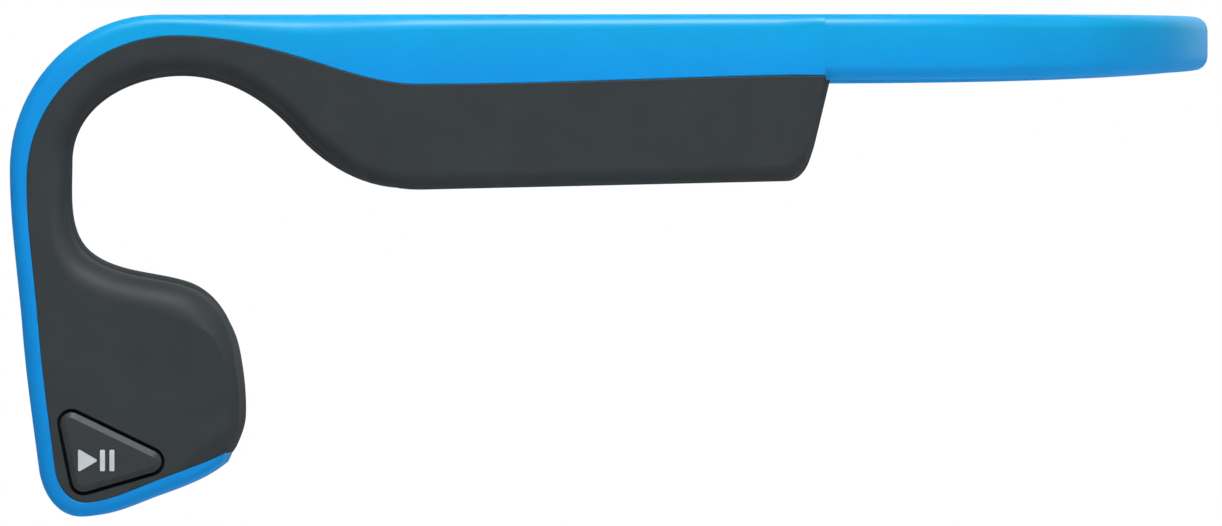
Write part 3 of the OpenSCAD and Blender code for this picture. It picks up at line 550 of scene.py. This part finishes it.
def add_coat(shader, weight, rough):
    """Thin satin skin, which shines less at a grazing angle than a bare plastic does."""
    shader.inputs["Coat Weight"].default_value = weight
    shader.inputs["Coat Roughness"].default_value = rough


def add_bump(tree, shader, source, depth):
    """Surface grain of a depth in millimetres."""
    node = tree.nodes.new("ShaderNodeBump")
    node.inputs["Distance"].default_value = depth * MM
    node.inputs["Strength"].default_value = 1
    tree.links.new(source, node.inputs["Height"])
    tree.links.new(node.outputs["Normal"], shader.inputs["Normal"])


def grained(name, dark, light, rough, grain, depth, metal=0.0, specular=0.5, patch=4.0, coat=0.0):
    """Moulded or cast material: patches of two near colours, uneven gloss and a fine grain."""
    material, tree, shader = new_material(name)
    blotch = noise(tree, patch)
    colour = ramp(tree, blotch.outputs["Fac"], dark, light)
    tree.links.new(colour.outputs["Color"], shader.inputs["Base Color"])
    fine = noise(tree, grain, detail=2)
    gloss = spread(tree, fine.outputs["Fac"], rough[0], rough[1])
    tree.links.new(gloss.outputs["Result"], shader.inputs["Roughness"])
    add_bump(tree, shader, fine.outputs["Fac"], depth)
    shader.inputs["Metallic"].default_value = metal
    shader.inputs["Specular IOR Level"].default_value = specular
    add_coat(shader, coat, rough[1])
    return material


# Share of the height, and the skin's colour there: deeper blue low down, lighter and greener towards the
# top, which is painted light from above
SKIN_SHADES_LIT_FROM_ABOVE = (
    (0.5, (0.004, 0.216, 0.58)),
    (0.88, (0.005, 0.27, 0.69)),
    (0.98, (0.005, 0.33, 0.66)),
)


def blue_skin():
    """Over-moulded skin that turns from a deeper blue at the speaker to a lighter, greener one at the top,
    as painted light from above.
    """
    material, tree, shader = new_material("soft_blue_skin_top_lit")
    place = tree.nodes.new("ShaderNodeTexCoord")
    split = tree.nodes.new("ShaderNodeSeparateXYZ")
    tree.links.new(place.outputs["Object"], split.inputs["Vector"])
    height = tree.nodes.new("ShaderNodeMapRange")
    height.inputs["From Min"].default_value = -OVERALL_HEIGHT / 2 * MM
    height.inputs["From Max"].default_value = OVERALL_HEIGHT / 2 * MM
    tree.links.new(split.outputs["Z"], height.inputs["Value"])
    # Colour ramp by height: painted light from above, so the skin is lighter towards the top
    shades = tree.nodes.new("ShaderNodeValToRGB")
    stops = shades.color_ramp.elements
    low, middle, high = SKIN_SHADES_LIT_FROM_ABOVE
    stops[0].position = low[0]
    stops[0].color = (*low[1], 1)
    stops[1].position = high[0]
    stops[1].color = (*high[1], 1)
    stops.new(middle[0]).color = (*middle[1], 1)
    tree.links.new(height.outputs["Result"], shades.inputs["Fac"])
    blotch = noise(tree, 9)
    fleck = ramp(tree, blotch.outputs["Fac"], (0.95, 0.95, 0.95), (1, 1, 1))
    mixed = tree.nodes.new("ShaderNodeMix")
    mixed.data_type = "RGBA"
    mixed.blend_type = "MULTIPLY"
    mixed.inputs["Factor"].default_value = 1
    tree.links.new(shades.outputs["Color"], mixed.inputs["A"])
    tree.links.new(fleck.outputs["Color"], mixed.inputs["B"])
    tree.links.new(mixed.outputs["Result"], shader.inputs["Base Color"])
    fine = noise(tree, 0.3, detail=2)
    gloss = spread(tree, fine.outputs["Fac"], 0.5, 0.62)
    tree.links.new(gloss.outputs["Result"], shader.inputs["Roughness"])
    add_bump(tree, shader, fine.outputs["Fac"], 0.0015)
    shader.inputs["Specular IOR Level"].default_value = 0
    add_coat(shader, 0.17, 0.38)
    return material


MATERIALS = {
    "blue_skin": blue_skin(),
    "dark_shell": grained("dark_moulded_shell", (0.0305, 0.0357, 0.0382), (0.0335, 0.0392, 0.0417),
                          (0.42, 0.52), 0.22, 0.01, specular=0, coat=0.1),
    "pad_skin": grained("silicone_pad", (0.02, 0.022, 0.024), (0.026, 0.028, 0.03),
                        (0.55, 0.7), 0.3, 0.008,
                        specular=0.3),
    "black_seal": grained("black_seal_rubber", (0.003, 0.003, 0.0035), (0.006, 0.006, 0.007), (0.6, 0.75),
                          0.2, 0.006, specular=0.15),
    "button_cap": grained("button_cap_plastic", (0.03, 0.035, 0.0375), (0.033, 0.0385, 0.041),
                          (0.36, 0.46),
                          0.2, 0.006, specular=0, coat=0.17),
    "volume_cap": grained("volume_cap_plastic", (0.034, 0.04, 0.043), (0.041, 0.048, 0.051), (0.4, 0.52),
                          0.2, 0.006, specular=0.35),
    "black_plastic": grained("black_plastic", (0.012, 0.012, 0.013), (0.018, 0.018, 0.02),
                             (0.4, 0.55), 0.3, 0.008),
    "spring_wire": grained("titanium_wire", (0.42, 0.41, 0.39), (0.52, 0.5, 0.48),
                           (0.28, 0.4), 0.15, 0.003, metal=1),
    "lead": grained("lead_sheath", (0.012, 0.012, 0.013), (0.02, 0.02, 0.021), (0.45, 0.6), 0.2, 0.006),
    "bare_metal": grained("plated_steel", (0.5, 0.5, 0.51), (0.6, 0.6, 0.61),
                          (0.25, 0.38), 0.15, 0.003, metal=1),
    "copper": grained("enamelled_copper", (0.5, 0.2, 0.08), (0.62, 0.27, 0.11),
                      (0.25, 0.35), 0.12, 0.006, metal=1),
    "board": grained("circuit_board", (0.012, 0.09, 0.04), (0.02, 0.14, 0.06),
                     (0.3, 0.45), 0.5, 0.01, patch=1.5),
    "cell_foil": grained("cell_foil", (0.55, 0.56, 0.58), (0.66, 0.67, 0.69),
                         (0.3, 0.45), 0.6, 0.012, metal=1),
    "light_lens": grained("status_lens", (0.5, 0.52, 0.54), (0.6, 0.62, 0.64), (0.15, 0.25), 0.3, 0.003),
    "glyph": grained("pale_print", (0.42, 0.45, 0.47), (0.5, 0.53, 0.55),
                     (0.5, 0.6), 0.2, 0.004, specular=0.3),
}


# Blue skin of one side: rim of the ear hook, cover of the pod and half of the band, in one piece
def skin_ring(width, out, inn, top_r, root_r, place):
    """Ring of the skin, from its root round its outer face and edge to its inner face."""
    corners = (
        (root_r, out - root_r, root_r, 180, 90, 4),
        (width - top_r, out - top_r, top_r, 90, 0, 8),
        (width - top_r, -inn + top_r, top_r, 0, -90, 8),
        (root_r, -inn + root_r, root_r, -90, -180, 4),
    )
    points = []
    for u, v, r, start, end, segments in corners:
        for j in range(segments + 1):
            q = Vector((u, v)) + r * ray(start + (end - start) * j / segments)
            points.append(place(q.x, q.y))
    return points


def rim_ring(side, t):
    """Ring of the skin along the arm."""
    a = line_at(SPLIT_KEYS, t)
    b = line_at(RIM_KEYS, t)
    width = (b - a).length
    across = (b - a) / width

    def place(u, depth):
        p = a + across * u
        return arm_point(side, p.x, depth, p.y)

    top_r = min(value_at(RIM_ROUNDS, t), 0.8 * width)
    out = value_at(RIM_OUT_DEPTHS, t)
    inn = value_at(RIM_IN_DEPTHS, t)
    return skin_ring(width, out, inn, top_r, SEAM_ROUND, place)


def band_ring(side, s):
    """Ring of the skin along the band."""
    height = BAND_HEIGHT + (BAND_BACK_HEIGHT - BAND_HEIGHT) * ease(s)
    thinned = ease(min(1, s / BAND_TAPER))
    half = (BAND_FRONT_THICKNESS + (BAND_THICKNESS - BAND_FRONT_THICKNESS) * thinned) / 2

    def place(u, outwards):
        return band_point(side, s, outwards, OVERALL_HEIGHT - height + u)

    return skin_ring(height, half, half, RIM_ROUND, RIM_ROUND, place)


def bend_with_arm(obj, name):
    """Bakes the transform of a piece of one side into its mesh."""
    back = band_point(SIDES[name], BEND_BACK, 0, OVERALL_HEIGHT / 2)
    pod = band_point(SIDES[name], BEND_FRONT, 0, OVERALL_HEIGHT / 2)
    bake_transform(obj)


def build_skin(name):
    side = SIDES[name]
    rings = [rim_ring(side, t) for t in reversed(STATIONS)]
    rings += [band_ring(side, s / BAND_STEPS) for s in range(BAND_STEPS + 1)]
    joint = 0.02 * MM
    step = len(STATIONS) - 1
    away = (rings[step + 2][0] - rings[step + 1][0]).normalized()
    rings[step + 1] = [p + away * joint for p in rings[step + 1]]
    skin = make_object(name + "_skin", *tube(rings), MATERIALS["blue_skin"], "blue_skin")
    bend_with_arm(skin, name)
    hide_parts(name + "_arm_trim")


# Spring wire and lead inside the band
def build_core(name, node, lift, slot):
    side = SIDES[name]
    up = OVERALL_HEIGHT - BAND_BACK_HEIGHT / 2 + lift
    sides = 10
    r = WIRE_D / 2 * ROD_FLAT
    rings = []
    tail = [-WIRE_TAIL * f for f in (1, 0.5)]
    for i in range(-len(tail), BAND_STEPS + 1):
        ring = []
        for j in range(sides):
            q = r * ray(360 * j / sides)
            if i < 0:
                ring.append(arm_point(side, ARM_LENGTH + tail[i], q.x, up + q.y))
            else:
                ring.append(band_point(side, i / BAND_STEPS, q.x, up + q.y))
        rings.append(ring)
    core = make_object(name + "_" + node, *tube(rings), MATERIALS[slot], slot)
    bend_with_arm(core, name)
    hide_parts(node)


# Dark shells
def shell_section(side, t, half, depths):
    """Half section of a shell, from the parting plane at its inner edge to the parting plane at the rim."""
    a = line_at(INNER_KEYS, t)
    b = line_at(SPLIT_KEYS, t)
    width = (b - a).length
    across = (b - a) / width
    depth = value_at(depths, t)
    run = min(value_at(EDGE_RUNS, t), 0.8 * width)
    drop = min(value_at(EDGE_DROPS, t), depth - 2 * SEAM_ROUND)
    flat = value_at(EDGE_FLATS, t)
    profile = [(SEAM_ROUND, 0), (0, SEAM_ROUND)]
    for j in range(EDGE_SEGMENTS + 1):
        turn = math.radians(90 * j / EDGE_SEGMENTS)
        share = j / EDGE_SEGMENTS
        u = (1 - math.cos(turn)) * (1 - flat) + share * flat
        v = (1 - math.sin(turn)) * (1 - flat) + (1 - share) * flat
        profile.append((run * u, depth - drop * v))
    for j in range(4):
        turn = math.radians(90 * j / 3)
        u = width - SEAM_ROUND * (1 - math.sin(turn))
        profile.append((u, depth - SEAM_ROUND * (1 - math.cos(turn))))
    profile.append((width, 0))
    points = []
    for u, v in profile:
        p = a + across * u
        points.append(arm_point(side, p.x, half * v, p.y))
    return points


def hollow_section(side, t, half, depths):
    """Hollow of a shell, one wall inside its section."""
    a = line_at(INNER_KEYS, t) + WALL * right_of(INNER_KEYS, t)
    b = line_at(SPLIT_KEYS, t) - WALL * right_of(SPLIT_KEYS, t)
    depth = value_at(depths, t) - WALL
    across = (b - a).normalized()
    run = max(value_at(EDGE_RUNS, t) - WALL, 0.2)
    drop = max(value_at(EDGE_DROPS, t) - WALL, 0.2)
    section = [(a, 0)]
    for j in range(HOLLOW_SEGMENTS + 1):
        turn = math.radians(90 * j / HOLLOW_SEGMENTS)
        section.append((a + across * run * (1 - math.cos(turn)), depth - drop * (1 - math.sin(turn))))
    section += [(b, depth), (b, 0)]
    return [arm_point(side, p.x, half * v, p.y) for p, v in section]


def prism(name, outline, place, low, high):
    """Straight block through an outline, used to cut openings."""
    rings = [[place(p, h) for p in outline] for h in (low, high)]
    return make_object(name, *tube(rings), MATERIALS["black_seal"], None)


def build_shell(name, half, depths, place_name):
    side = SIDES[name]
    outer = [shell_section(side, t, half, depths) for t in STATIONS]
    inner = [hollow_section(side, t, half, depths) for t in STATIONS]
    first = STATION_STEPS[0] // 2
    last = len(STATIONS) - 1 - STATION_STEPS[-1] // 2
    node = f"{name}_{place_name}_shell"
    points, faces = open_shell(outer, inner, first, last)
    shell = make_object(node + "_skin", points, faces, MATERIALS["dark_shell"], "dark_shell")
    return shell, node


def finish_shell(shell, node, name):
    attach(shell, name + "_arm")
    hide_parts(node)


def face_place(side):
    """Places a point of the side view at a depth."""
    def place(p, depth):
        return arm_point(side, p.x, depth, p.y)

    return place


def underside_place(back):
    """Places a point of the underside's plan at a height into the pod."""
    def place(p, into):
        return under_pod(back, p.x, p.y, into)

    return place


def pad_outline(grow):
    corners = box_corners(PAD_CENTRE, PAD_LENGTH, PAD_HEIGHT, PAD_CORNER)
    return rounded_outline(corners, PAD_CORNER + grow, 12)


def button_outline(r):
    return rounded_outline(BUTTON_CORNERS, r, 10)


def cut_underside(shell):
    """Cuts the keys' slots, the charging cover's seat and the small holes."""
    deep = WALL + 1
    for back in VOLUME_BACKS.values():
        outline = slot_outline(VOLUME_LENGTH + 2 * TRAVEL_GAP, VOLUME_WIDTH + 2 * TRAVEL_GAP)
        cut(shell, prism("cutter", outline, underside_place(back), -1, deep))
    corner = 0.3
    seat = (COVER_LENGTH + TRAVEL_GAP, COVER_WIDTH + TRAVEL_GAP)
    cover = rounded_outline(box_corners((0, 0), *seat, corner), corner)
    cut(shell, prism("cutter", cover, underside_place(USB_BACK), -1, COVER_THICKNESS + 0.1))
    socket = rounded_outline(box_corners((0, 0), *SOCKET_OPENING, corner), corner)
    cut(shell, prism("cutter", socket, underside_place(USB_BACK), -1, deep))
    for back, r in ((LIGHT_BACK, LIGHT_R + SEAT_GAP), (MIC_BACK, LIGHT_R)):
        ring = slot_outline(2 * r + 1e-6, 2 * r)
        cut(shell, prism("cutter", ring, underside_place(back), -1, deep))


def build_shells(name):
    side = SIDES[name]
    outer, outer_node = build_shell(name, 1, OUT_DEPTHS, "outer")
    inner, inner_node = build_shell(name, -1, IN_DEPTHS, "inner")
    opening = pad_outline(PANEL_GAP)
    cut(inner, prism("cutter", opening, face_place(side), -SPEAKER_IN - 1, -SPEAKER_IN + WALL + 1))
    if name == "left":
        opening = button_outline(BUTTON_CORNER)
        cut(outer, prism("cutter", opening, face_place(side), SPEAKER_OUT - WALL - 1, SPEAKER_OUT + 1))
    else:
        cut_underside(outer)
        cut_underside(inner)
    finish_shell(outer, outer_node, name)
    finish_shell(inner, inner_node, name)


# Triangular button with its seal and its play and pause sign
def build_button():
    place = face_place(LEFT)
    inside = SPEAKER_OUT - WALL
    lip = SEAL_WIDTH - 0.2
    seal_levels = [
        (0.04, inside - 0.5),
        (0.04, SPEAKER_OUT - 0.42),
        (0.1, SPEAKER_OUT - 0.34),
        (lip / 2, SPEAKER_OUT - 0.3),
        (lip - 0.08, SPEAKER_OUT - 0.36),
        (lip - 0.03, SPEAKER_OUT - 0.5),
        (lip - 0.03, inside - 0.5),
    ]
    rings = stack(lambda shrink: button_outline(BUTTON_CORNER - shrink), place, seal_levels)
    points, faces = tube(rings + [rings[0]])
    seal = make_object("button_seal_ring", points, faces[:-2], MATERIALS["black_seal"], "black_seal")
    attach(seal, "left_arm")
    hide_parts("button_seal")

    cap_r = BUTTON_CORNER - lip - 0.02
    face = SPEAKER_OUT + BUTTON_PROUD
    bevel = 0.62
    fall = 0.4
    levels = [(0, inside - 1.1), (0, face - fall - 0.1), (0.03, face - fall)]
    levels += [(bevel - 0.06, face - 0.03), (bevel, face), (bevel + 0.12, face)]
    rings = stack(lambda shrink: button_outline(cap_r - shrink), place, levels)
    cap = make_object("button_cap", *tube(rings), MATERIALS["button_cap"], "button_cap", crease=25)
    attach(cap, "multifunction_button")
    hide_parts("multifunction_button")
    sign = (9.75, 5.95)
    raised = (face - 0.05, face + 0.06)
    play = [(-1.85, -1), (-1.85, 1), (-0.15, 0)]
    bars = (0.6, 1.6)
    bar_size = (0.52, 2.25)
    shapes = [rounded_outline([(sign[0] + x, sign[1] + z) for x, z in play], 0.14, 4)]
    bar_corner = 0.12
    for x in bars:
        corners = box_corners((sign[0] + x, sign[1]), *bar_size, bar_corner)
        shapes.append(rounded_outline(corners, bar_corner, 4))
    for i, shape in enumerate(shapes):
        rings = [[place(p, h) for p in shape] for h in raised]
        piece = make_object(f"button_sign_{i}", *tube(rings), MATERIALS["glyph"], "button_cap")
        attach(piece, "multifunction_button")


# Crowned silicone pads
def build_pad(name):
    rim = 1.3
    base = PANEL_FACE
    top = PAD_FACE
    crown = 0.3
    levels = [(0.35, base), (0.1, base - 0.12), (0, base - 0.4)]
    levels += [(shrink, base - 0.4 + (top + crown - base + 0.4) * h) for shrink, h in
               ((0.0, 0.35), (rim * 0.12, 0.68), (rim * 0.4, 0.9), (rim, 1))]
    inner = [(rim + 0.7 * k, top + crown * (1 - ease(min(1, k / 5)))) for k in range(1, 6)]
    rings = stack(lambda shrink: pad_outline(PAD_LIP - shrink), face_place(SIDES[name]), levels + inner)
    pad = make_object(name + "_pad_cushion", *tube(rings), MATERIALS["pad_skin"], "pad_skin", crease=70)
    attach(pad, name + "_panel")
    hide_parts(name + "_pad")


# Keys, cover and light on the right pod's underside
def build_underside():
    for name, back in VOLUME_BACKS.items():
        body = f"volume_{name}_button"
        place = underside_place(back)

        def outline(shrink):
            return slot_outline(VOLUME_LENGTH - 2 * shrink, VOLUME_WIDTH - 2 * shrink)

        levels = [(-0.6, WALL + 0.65), (-0.6, WALL + 0.06), (0, WALL + 0.05), (0, -KEY_PROUD + 0.35)]
        levels += [(shrink, -h) for shrink, h in round_over(0.35, KEY_PROUD)]
        levels += [(0.8, -KEY_PROUD + 0.1), (1.1, -KEY_PROUD + 0.14)]
        points, faces = tube(stack(outline, place, levels))
        key = make_object(f"volume_{name}_key", points, faces, MATERIALS["volume_cap"], "volume_cap")
        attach(key, body)
        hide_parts(body)
        strokes = [(1.6, 0.36)] + ([(0.36, 1.6)] if name == "up" else [])
        for i, (length, width) in enumerate(strokes):
            shape = rounded_outline(box_corners((0, 0), length, width, 0.1), 0.1, 3)
            rings = [[place(p, h) for p in shape] for h in (-KEY_PROUD + 0.2, -KEY_PROUD + 0.04 - 0.01 * i)]
            sign = make_object(f"volume_{name}_sign_{i}", *tube(rings), MATERIALS["glyph"], "volume_cap")
            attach(sign, body)


def build_cover():
    """Rubber flap over the charging socket, with its plug, its bead and a ridged lip to lift it by."""
    place = underside_place(USB_BACK)
    length = COVER_LENGTH - BEAD_R
    centre = (-BEAD_R / 2, 0)

    def outline(shrink):
        return rounded_outline(box_corners(centre, length - 2 * shrink, COVER_WIDTH - 2 * shrink, 0.5), 0.5)

    levels = [(0.1, COVER_THICKNESS), (0, COVER_THICKNESS - 0.1)]
    levels += [(shrink, -h) for shrink, h in round_over(0.22, 0)]
    levels += [(0.6, -0.02), (1.0, -0.03)]
    points, faces = tube(stack(outline, place, levels))
    flap = make_object("usb_cover_flap", points, faces, MATERIALS["black_seal"], "black_seal")
    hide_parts("usb_cover")
    pieces = [flap]

    def plug_outline(shrink):
        size = (PLUG_SIZE[0] - 2 * shrink, PLUG_SIZE[1] - 2 * shrink)
        return rounded_outline(box_corners((0, 0), *size, 0.4), 0.4)

    plug_levels = [(0, COVER_THICKNESS - 0.05), (0, COVER_THICKNESS + 0.2), (0.15, COVER_THICKNESS + 0.35)]
    plug = tube(stack(plug_outline, place, plug_levels))
    pieces.append(make_object("usb_cover_plug", *plug, MATERIALS["black_seal"], "black_seal"))
    sides = 20
    bead_x = COVER_LENGTH / 2 - BEAD_R
    bead_up = COVER_THICKNESS - 0.1
    reach = COVER_WIDTH / 2 - 0.2
    rings = []
    for depth, r in ((-reach, 0.55), (-reach + 0.15, BEAD_R), (reach - 0.15, BEAD_R), (reach, 0.55)):
        ring = [Vector((bead_x, bead_up)) + r * ray(360 * j / sides) for j in range(sides)]
        rings.append([under_pod(USB_BACK, p.x, depth, p.y) for p in ring])
    pieces.append(make_object("usb_cover_bead", *tube(rings), MATERIALS["black_seal"], "black_seal"))
    for i in range(3):
        shape = rounded_outline(box_corners((-length / 2 + 0.3 + 0.55 * i, 0), 0.28, 2.6, 0.13), 0.13, 4)
        rings = [[place(p, h) for p in shape] for h in (0.1, -0.1)]
        ridge = make_object(f"usb_cover_ridge_{i}", *tube(rings), MATERIALS["black_seal"], "black_seal")
        pieces.append(ridge)
    for piece in pieces:
        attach(piece, "usb_cover")


def build_lens():
    """Domed lens of the status light."""
    levels = [(0, WALL + 0.6), (0, 0.05)]
    levels += [(LIGHT_R * f, -0.1 * math.sqrt(1 - (1 - f) ** 2)) for f in (0.1, 0.3, 0.6, 0.85)]
    rings = stack(lambda shrink: slot_outline(2 * (LIGHT_R - shrink) + 1e-6, 2 * (LIGHT_R - shrink)),
                  underside_place(LIGHT_BACK), levels)
    lens = make_object("status_light_lens", *tube(rings), MATERIALS["light_lens"], "light_lens")
    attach(lens, "right_arm")
    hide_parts("status_light")


# Finish of the solids that show or lie inside
def paint_solids():
    for part in frame["record"]["subparts"]:
        obj = NODES[part["node"]]
        obj.data.materials.clear()
        obj.data.materials.append(MATERIALS[part["material_slot"]])


# Camera, light and floor
VIEW_WIDTH = 128.95
LENS = 700
SENSOR = 36
VIEW_CENTRE = Vector((-1.03, -62, 0.26))
EYE_OVER = (14.5, 38)
SOFTBOX = (-0.038, -0.2, 0.28)
SOFTBOX_TARGET = (-0.038, -0.06, 0.02)
STUDIO_LIGHT = 0.31
FLOOR_R = 1.2
FLOOR_DROP = 0.01
FLOOR_FADE = (0.12, 0.5)


def aim(obj, target):
    """Turns an object's own -Z towards a point."""
    obj.rotation_euler = (target - obj.location).to_track_quat("-Z", "Y").to_euler()


def build_camera():
    data = bpy.data.cameras.new("camera")
    data.lens = LENS
    data.sensor_width = SENSOR
    data.clip_start = 0.1
    data.clip_end = 20
    camera = bpy.data.objects.new("camera", data)
    bpy.context.scene.collection.objects.link(camera)
    distance = VIEW_WIDTH * LENS / SENSOR
    eye = (EYE_OVER[0] - OVERALL_LENGTH / 2, VIEW_CENTRE.y - distance, EYE_OVER[1] - OVERALL_HEIGHT / 2)
    camera.location = Vector(eye) * MM
    aim(camera, VIEW_CENTRE * MM)
    bpy.context.scene.camera = camera


def add_light(name, place, size, power, target=(0, 0, 0), fills=True):
    """Soft area light, seen in reflections alone if it doesn't fill."""
    data = bpy.data.lights.new(name, "AREA")
    data.shape = "RECTANGLE"
    data.size = size[0]
    data.size_y = size[1]
    data.energy = power
    light = bpy.data.objects.new(name, data)
    bpy.context.scene.collection.objects.link(light)
    light.location = place
    light.visible_camera = False
    light.visible_diffuse = fills
    aim(light, Vector(target))


def white_strength(tree):
    """Strength that is plain white to the eye and in reflections, and a soft light otherwise."""
    path = tree.nodes.new("ShaderNodeLightPath")
    seen = path.outputs["Is Camera Ray"]
    for kind in ("Is Glossy Ray", "Is Transmission Ray"):
        either = tree.nodes.new("ShaderNodeMath")
        either.operation = "MAXIMUM"
        tree.links.new(seen, either.inputs[0])
        tree.links.new(path.outputs[kind], either.inputs[1])
        seen = either.outputs[0]
    strength = tree.nodes.new("ShaderNodeMapRange")
    strength.inputs["To Min"].default_value = STUDIO_LIGHT
    strength.inputs["To Max"].default_value = 1
    tree.links.new(seen, strength.inputs["Value"])
    return strength.outputs["Result"]


def floor_finish():
    """Pale floor that fades into the white of the studio, and is clear from below to show the keys."""
    material = grained("pale_floor", (0.82, 0.82, 0.82), (0.84, 0.84, 0.84), (0.7, 0.8), 3, 0.02)
    tree = material.node_tree
    place = tree.nodes.new("ShaderNodeTexCoord")
    reach = tree.nodes.new("ShaderNodeVectorMath")
    reach.operation = "LENGTH"
    tree.links.new(place.outputs["Object"], reach.inputs[0])
    fade = tree.nodes.new("ShaderNodeMapRange")
    fade.interpolation_type = "SMOOTHSTEP"
    fade.inputs["From Min"].default_value = FLOOR_FADE[0]
    fade.inputs["From Max"].default_value = FLOOR_FADE[1]
    tree.links.new(reach.outputs["Value"], fade.inputs["Value"])
    white = tree.nodes.new("ShaderNodeEmission")
    tree.links.new(white_strength(tree), white.inputs["Strength"])
    both = tree.nodes.new("ShaderNodeMixShader")
    tree.links.new(fade.outputs["Result"], both.inputs["Fac"])
    tree.links.new(tree.nodes["Principled BSDF"].outputs["BSDF"], both.inputs[1])
    tree.links.new(white.outputs["Emission"], both.inputs[2])
    faces = tree.nodes.new("ShaderNodeNewGeometry")
    clear = tree.nodes.new("ShaderNodeBsdfTransparent")
    one_way = tree.nodes.new("ShaderNodeMixShader")
    tree.links.new(faces.outputs["Backfacing"], one_way.inputs["Fac"])
    tree.links.new(both.outputs["Shader"], one_way.inputs[1])
    tree.links.new(clear.outputs["BSDF"], one_way.inputs[2])
    tree.links.new(one_way.outputs["Shader"], tree.nodes["Material Output"].inputs["Surface"])
    return material


def build_stage():
    world = bpy.data.worlds.new("studio")
    bpy.context.scene.world = world
    world.use_nodes = True
    tree = world.node_tree
    back = tree.nodes["Background"]
    back.inputs["Color"].default_value = (1, 1, 1, 1)
    tree.links.new(white_strength(tree), back.inputs["Strength"])
    add_light("top_softbox", SOFTBOX, (0.05, 0.08), 0.55, SOFTBOX_TARGET)
    add_light("top_glint", SOFTBOX, (0.16, 0.08), 2.9, SOFTBOX_TARGET, fills=False)
    add_light("front_fill", (0, -0.75, 0.8), (1.0, 0.5), 5.15)
    add_light("back_fill", (0.3, 1.0, 0.4), (0.8, 0.8), 5)
    add_light("end_fill", (0.9, -0.3, 0.5), (0.6, 0.6), 2.8)

    sides = 64
    up = -OVERALL_HEIGHT / 2 * MM - FLOOR_DROP
    ring = [FLOOR_R * ray(360 * j / sides) for j in range(sides)]
    mesh = bpy.data.meshes.new("floor")
    mesh.from_pydata([(p.x, p.y, up) for p in ring], [], [tuple(range(sides))])
    floor = bpy.data.objects.new("floor", mesh)
    bpy.context.scene.collection.objects.link(floor)
    floor.data.materials.append(floor_finish())
    floor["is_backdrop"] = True


paint_solids()
for arm in SIDES:
    build_skin(arm)
    lift = (CHANNEL_HEIGHT - WIRE_D * ROD_FLAT) / 2
    build_core(arm, "neckband_wire", lift, "spring_wire")
    build_core(arm, "neckband_cable", -lift, "lead")
    build_shells(arm)
    build_pad(arm)
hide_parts("neckband_sleeve")
build_button()
build_underside()
build_cover()
build_lens()
build_camera()
build_stage()
bpy.context.scene.view_settings.view_transform = "Standard"

boxes = {"cad": CAD_BOX, "visual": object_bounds()}
{name: [list(corner) for corner in box] for name, box in boxes.items()}
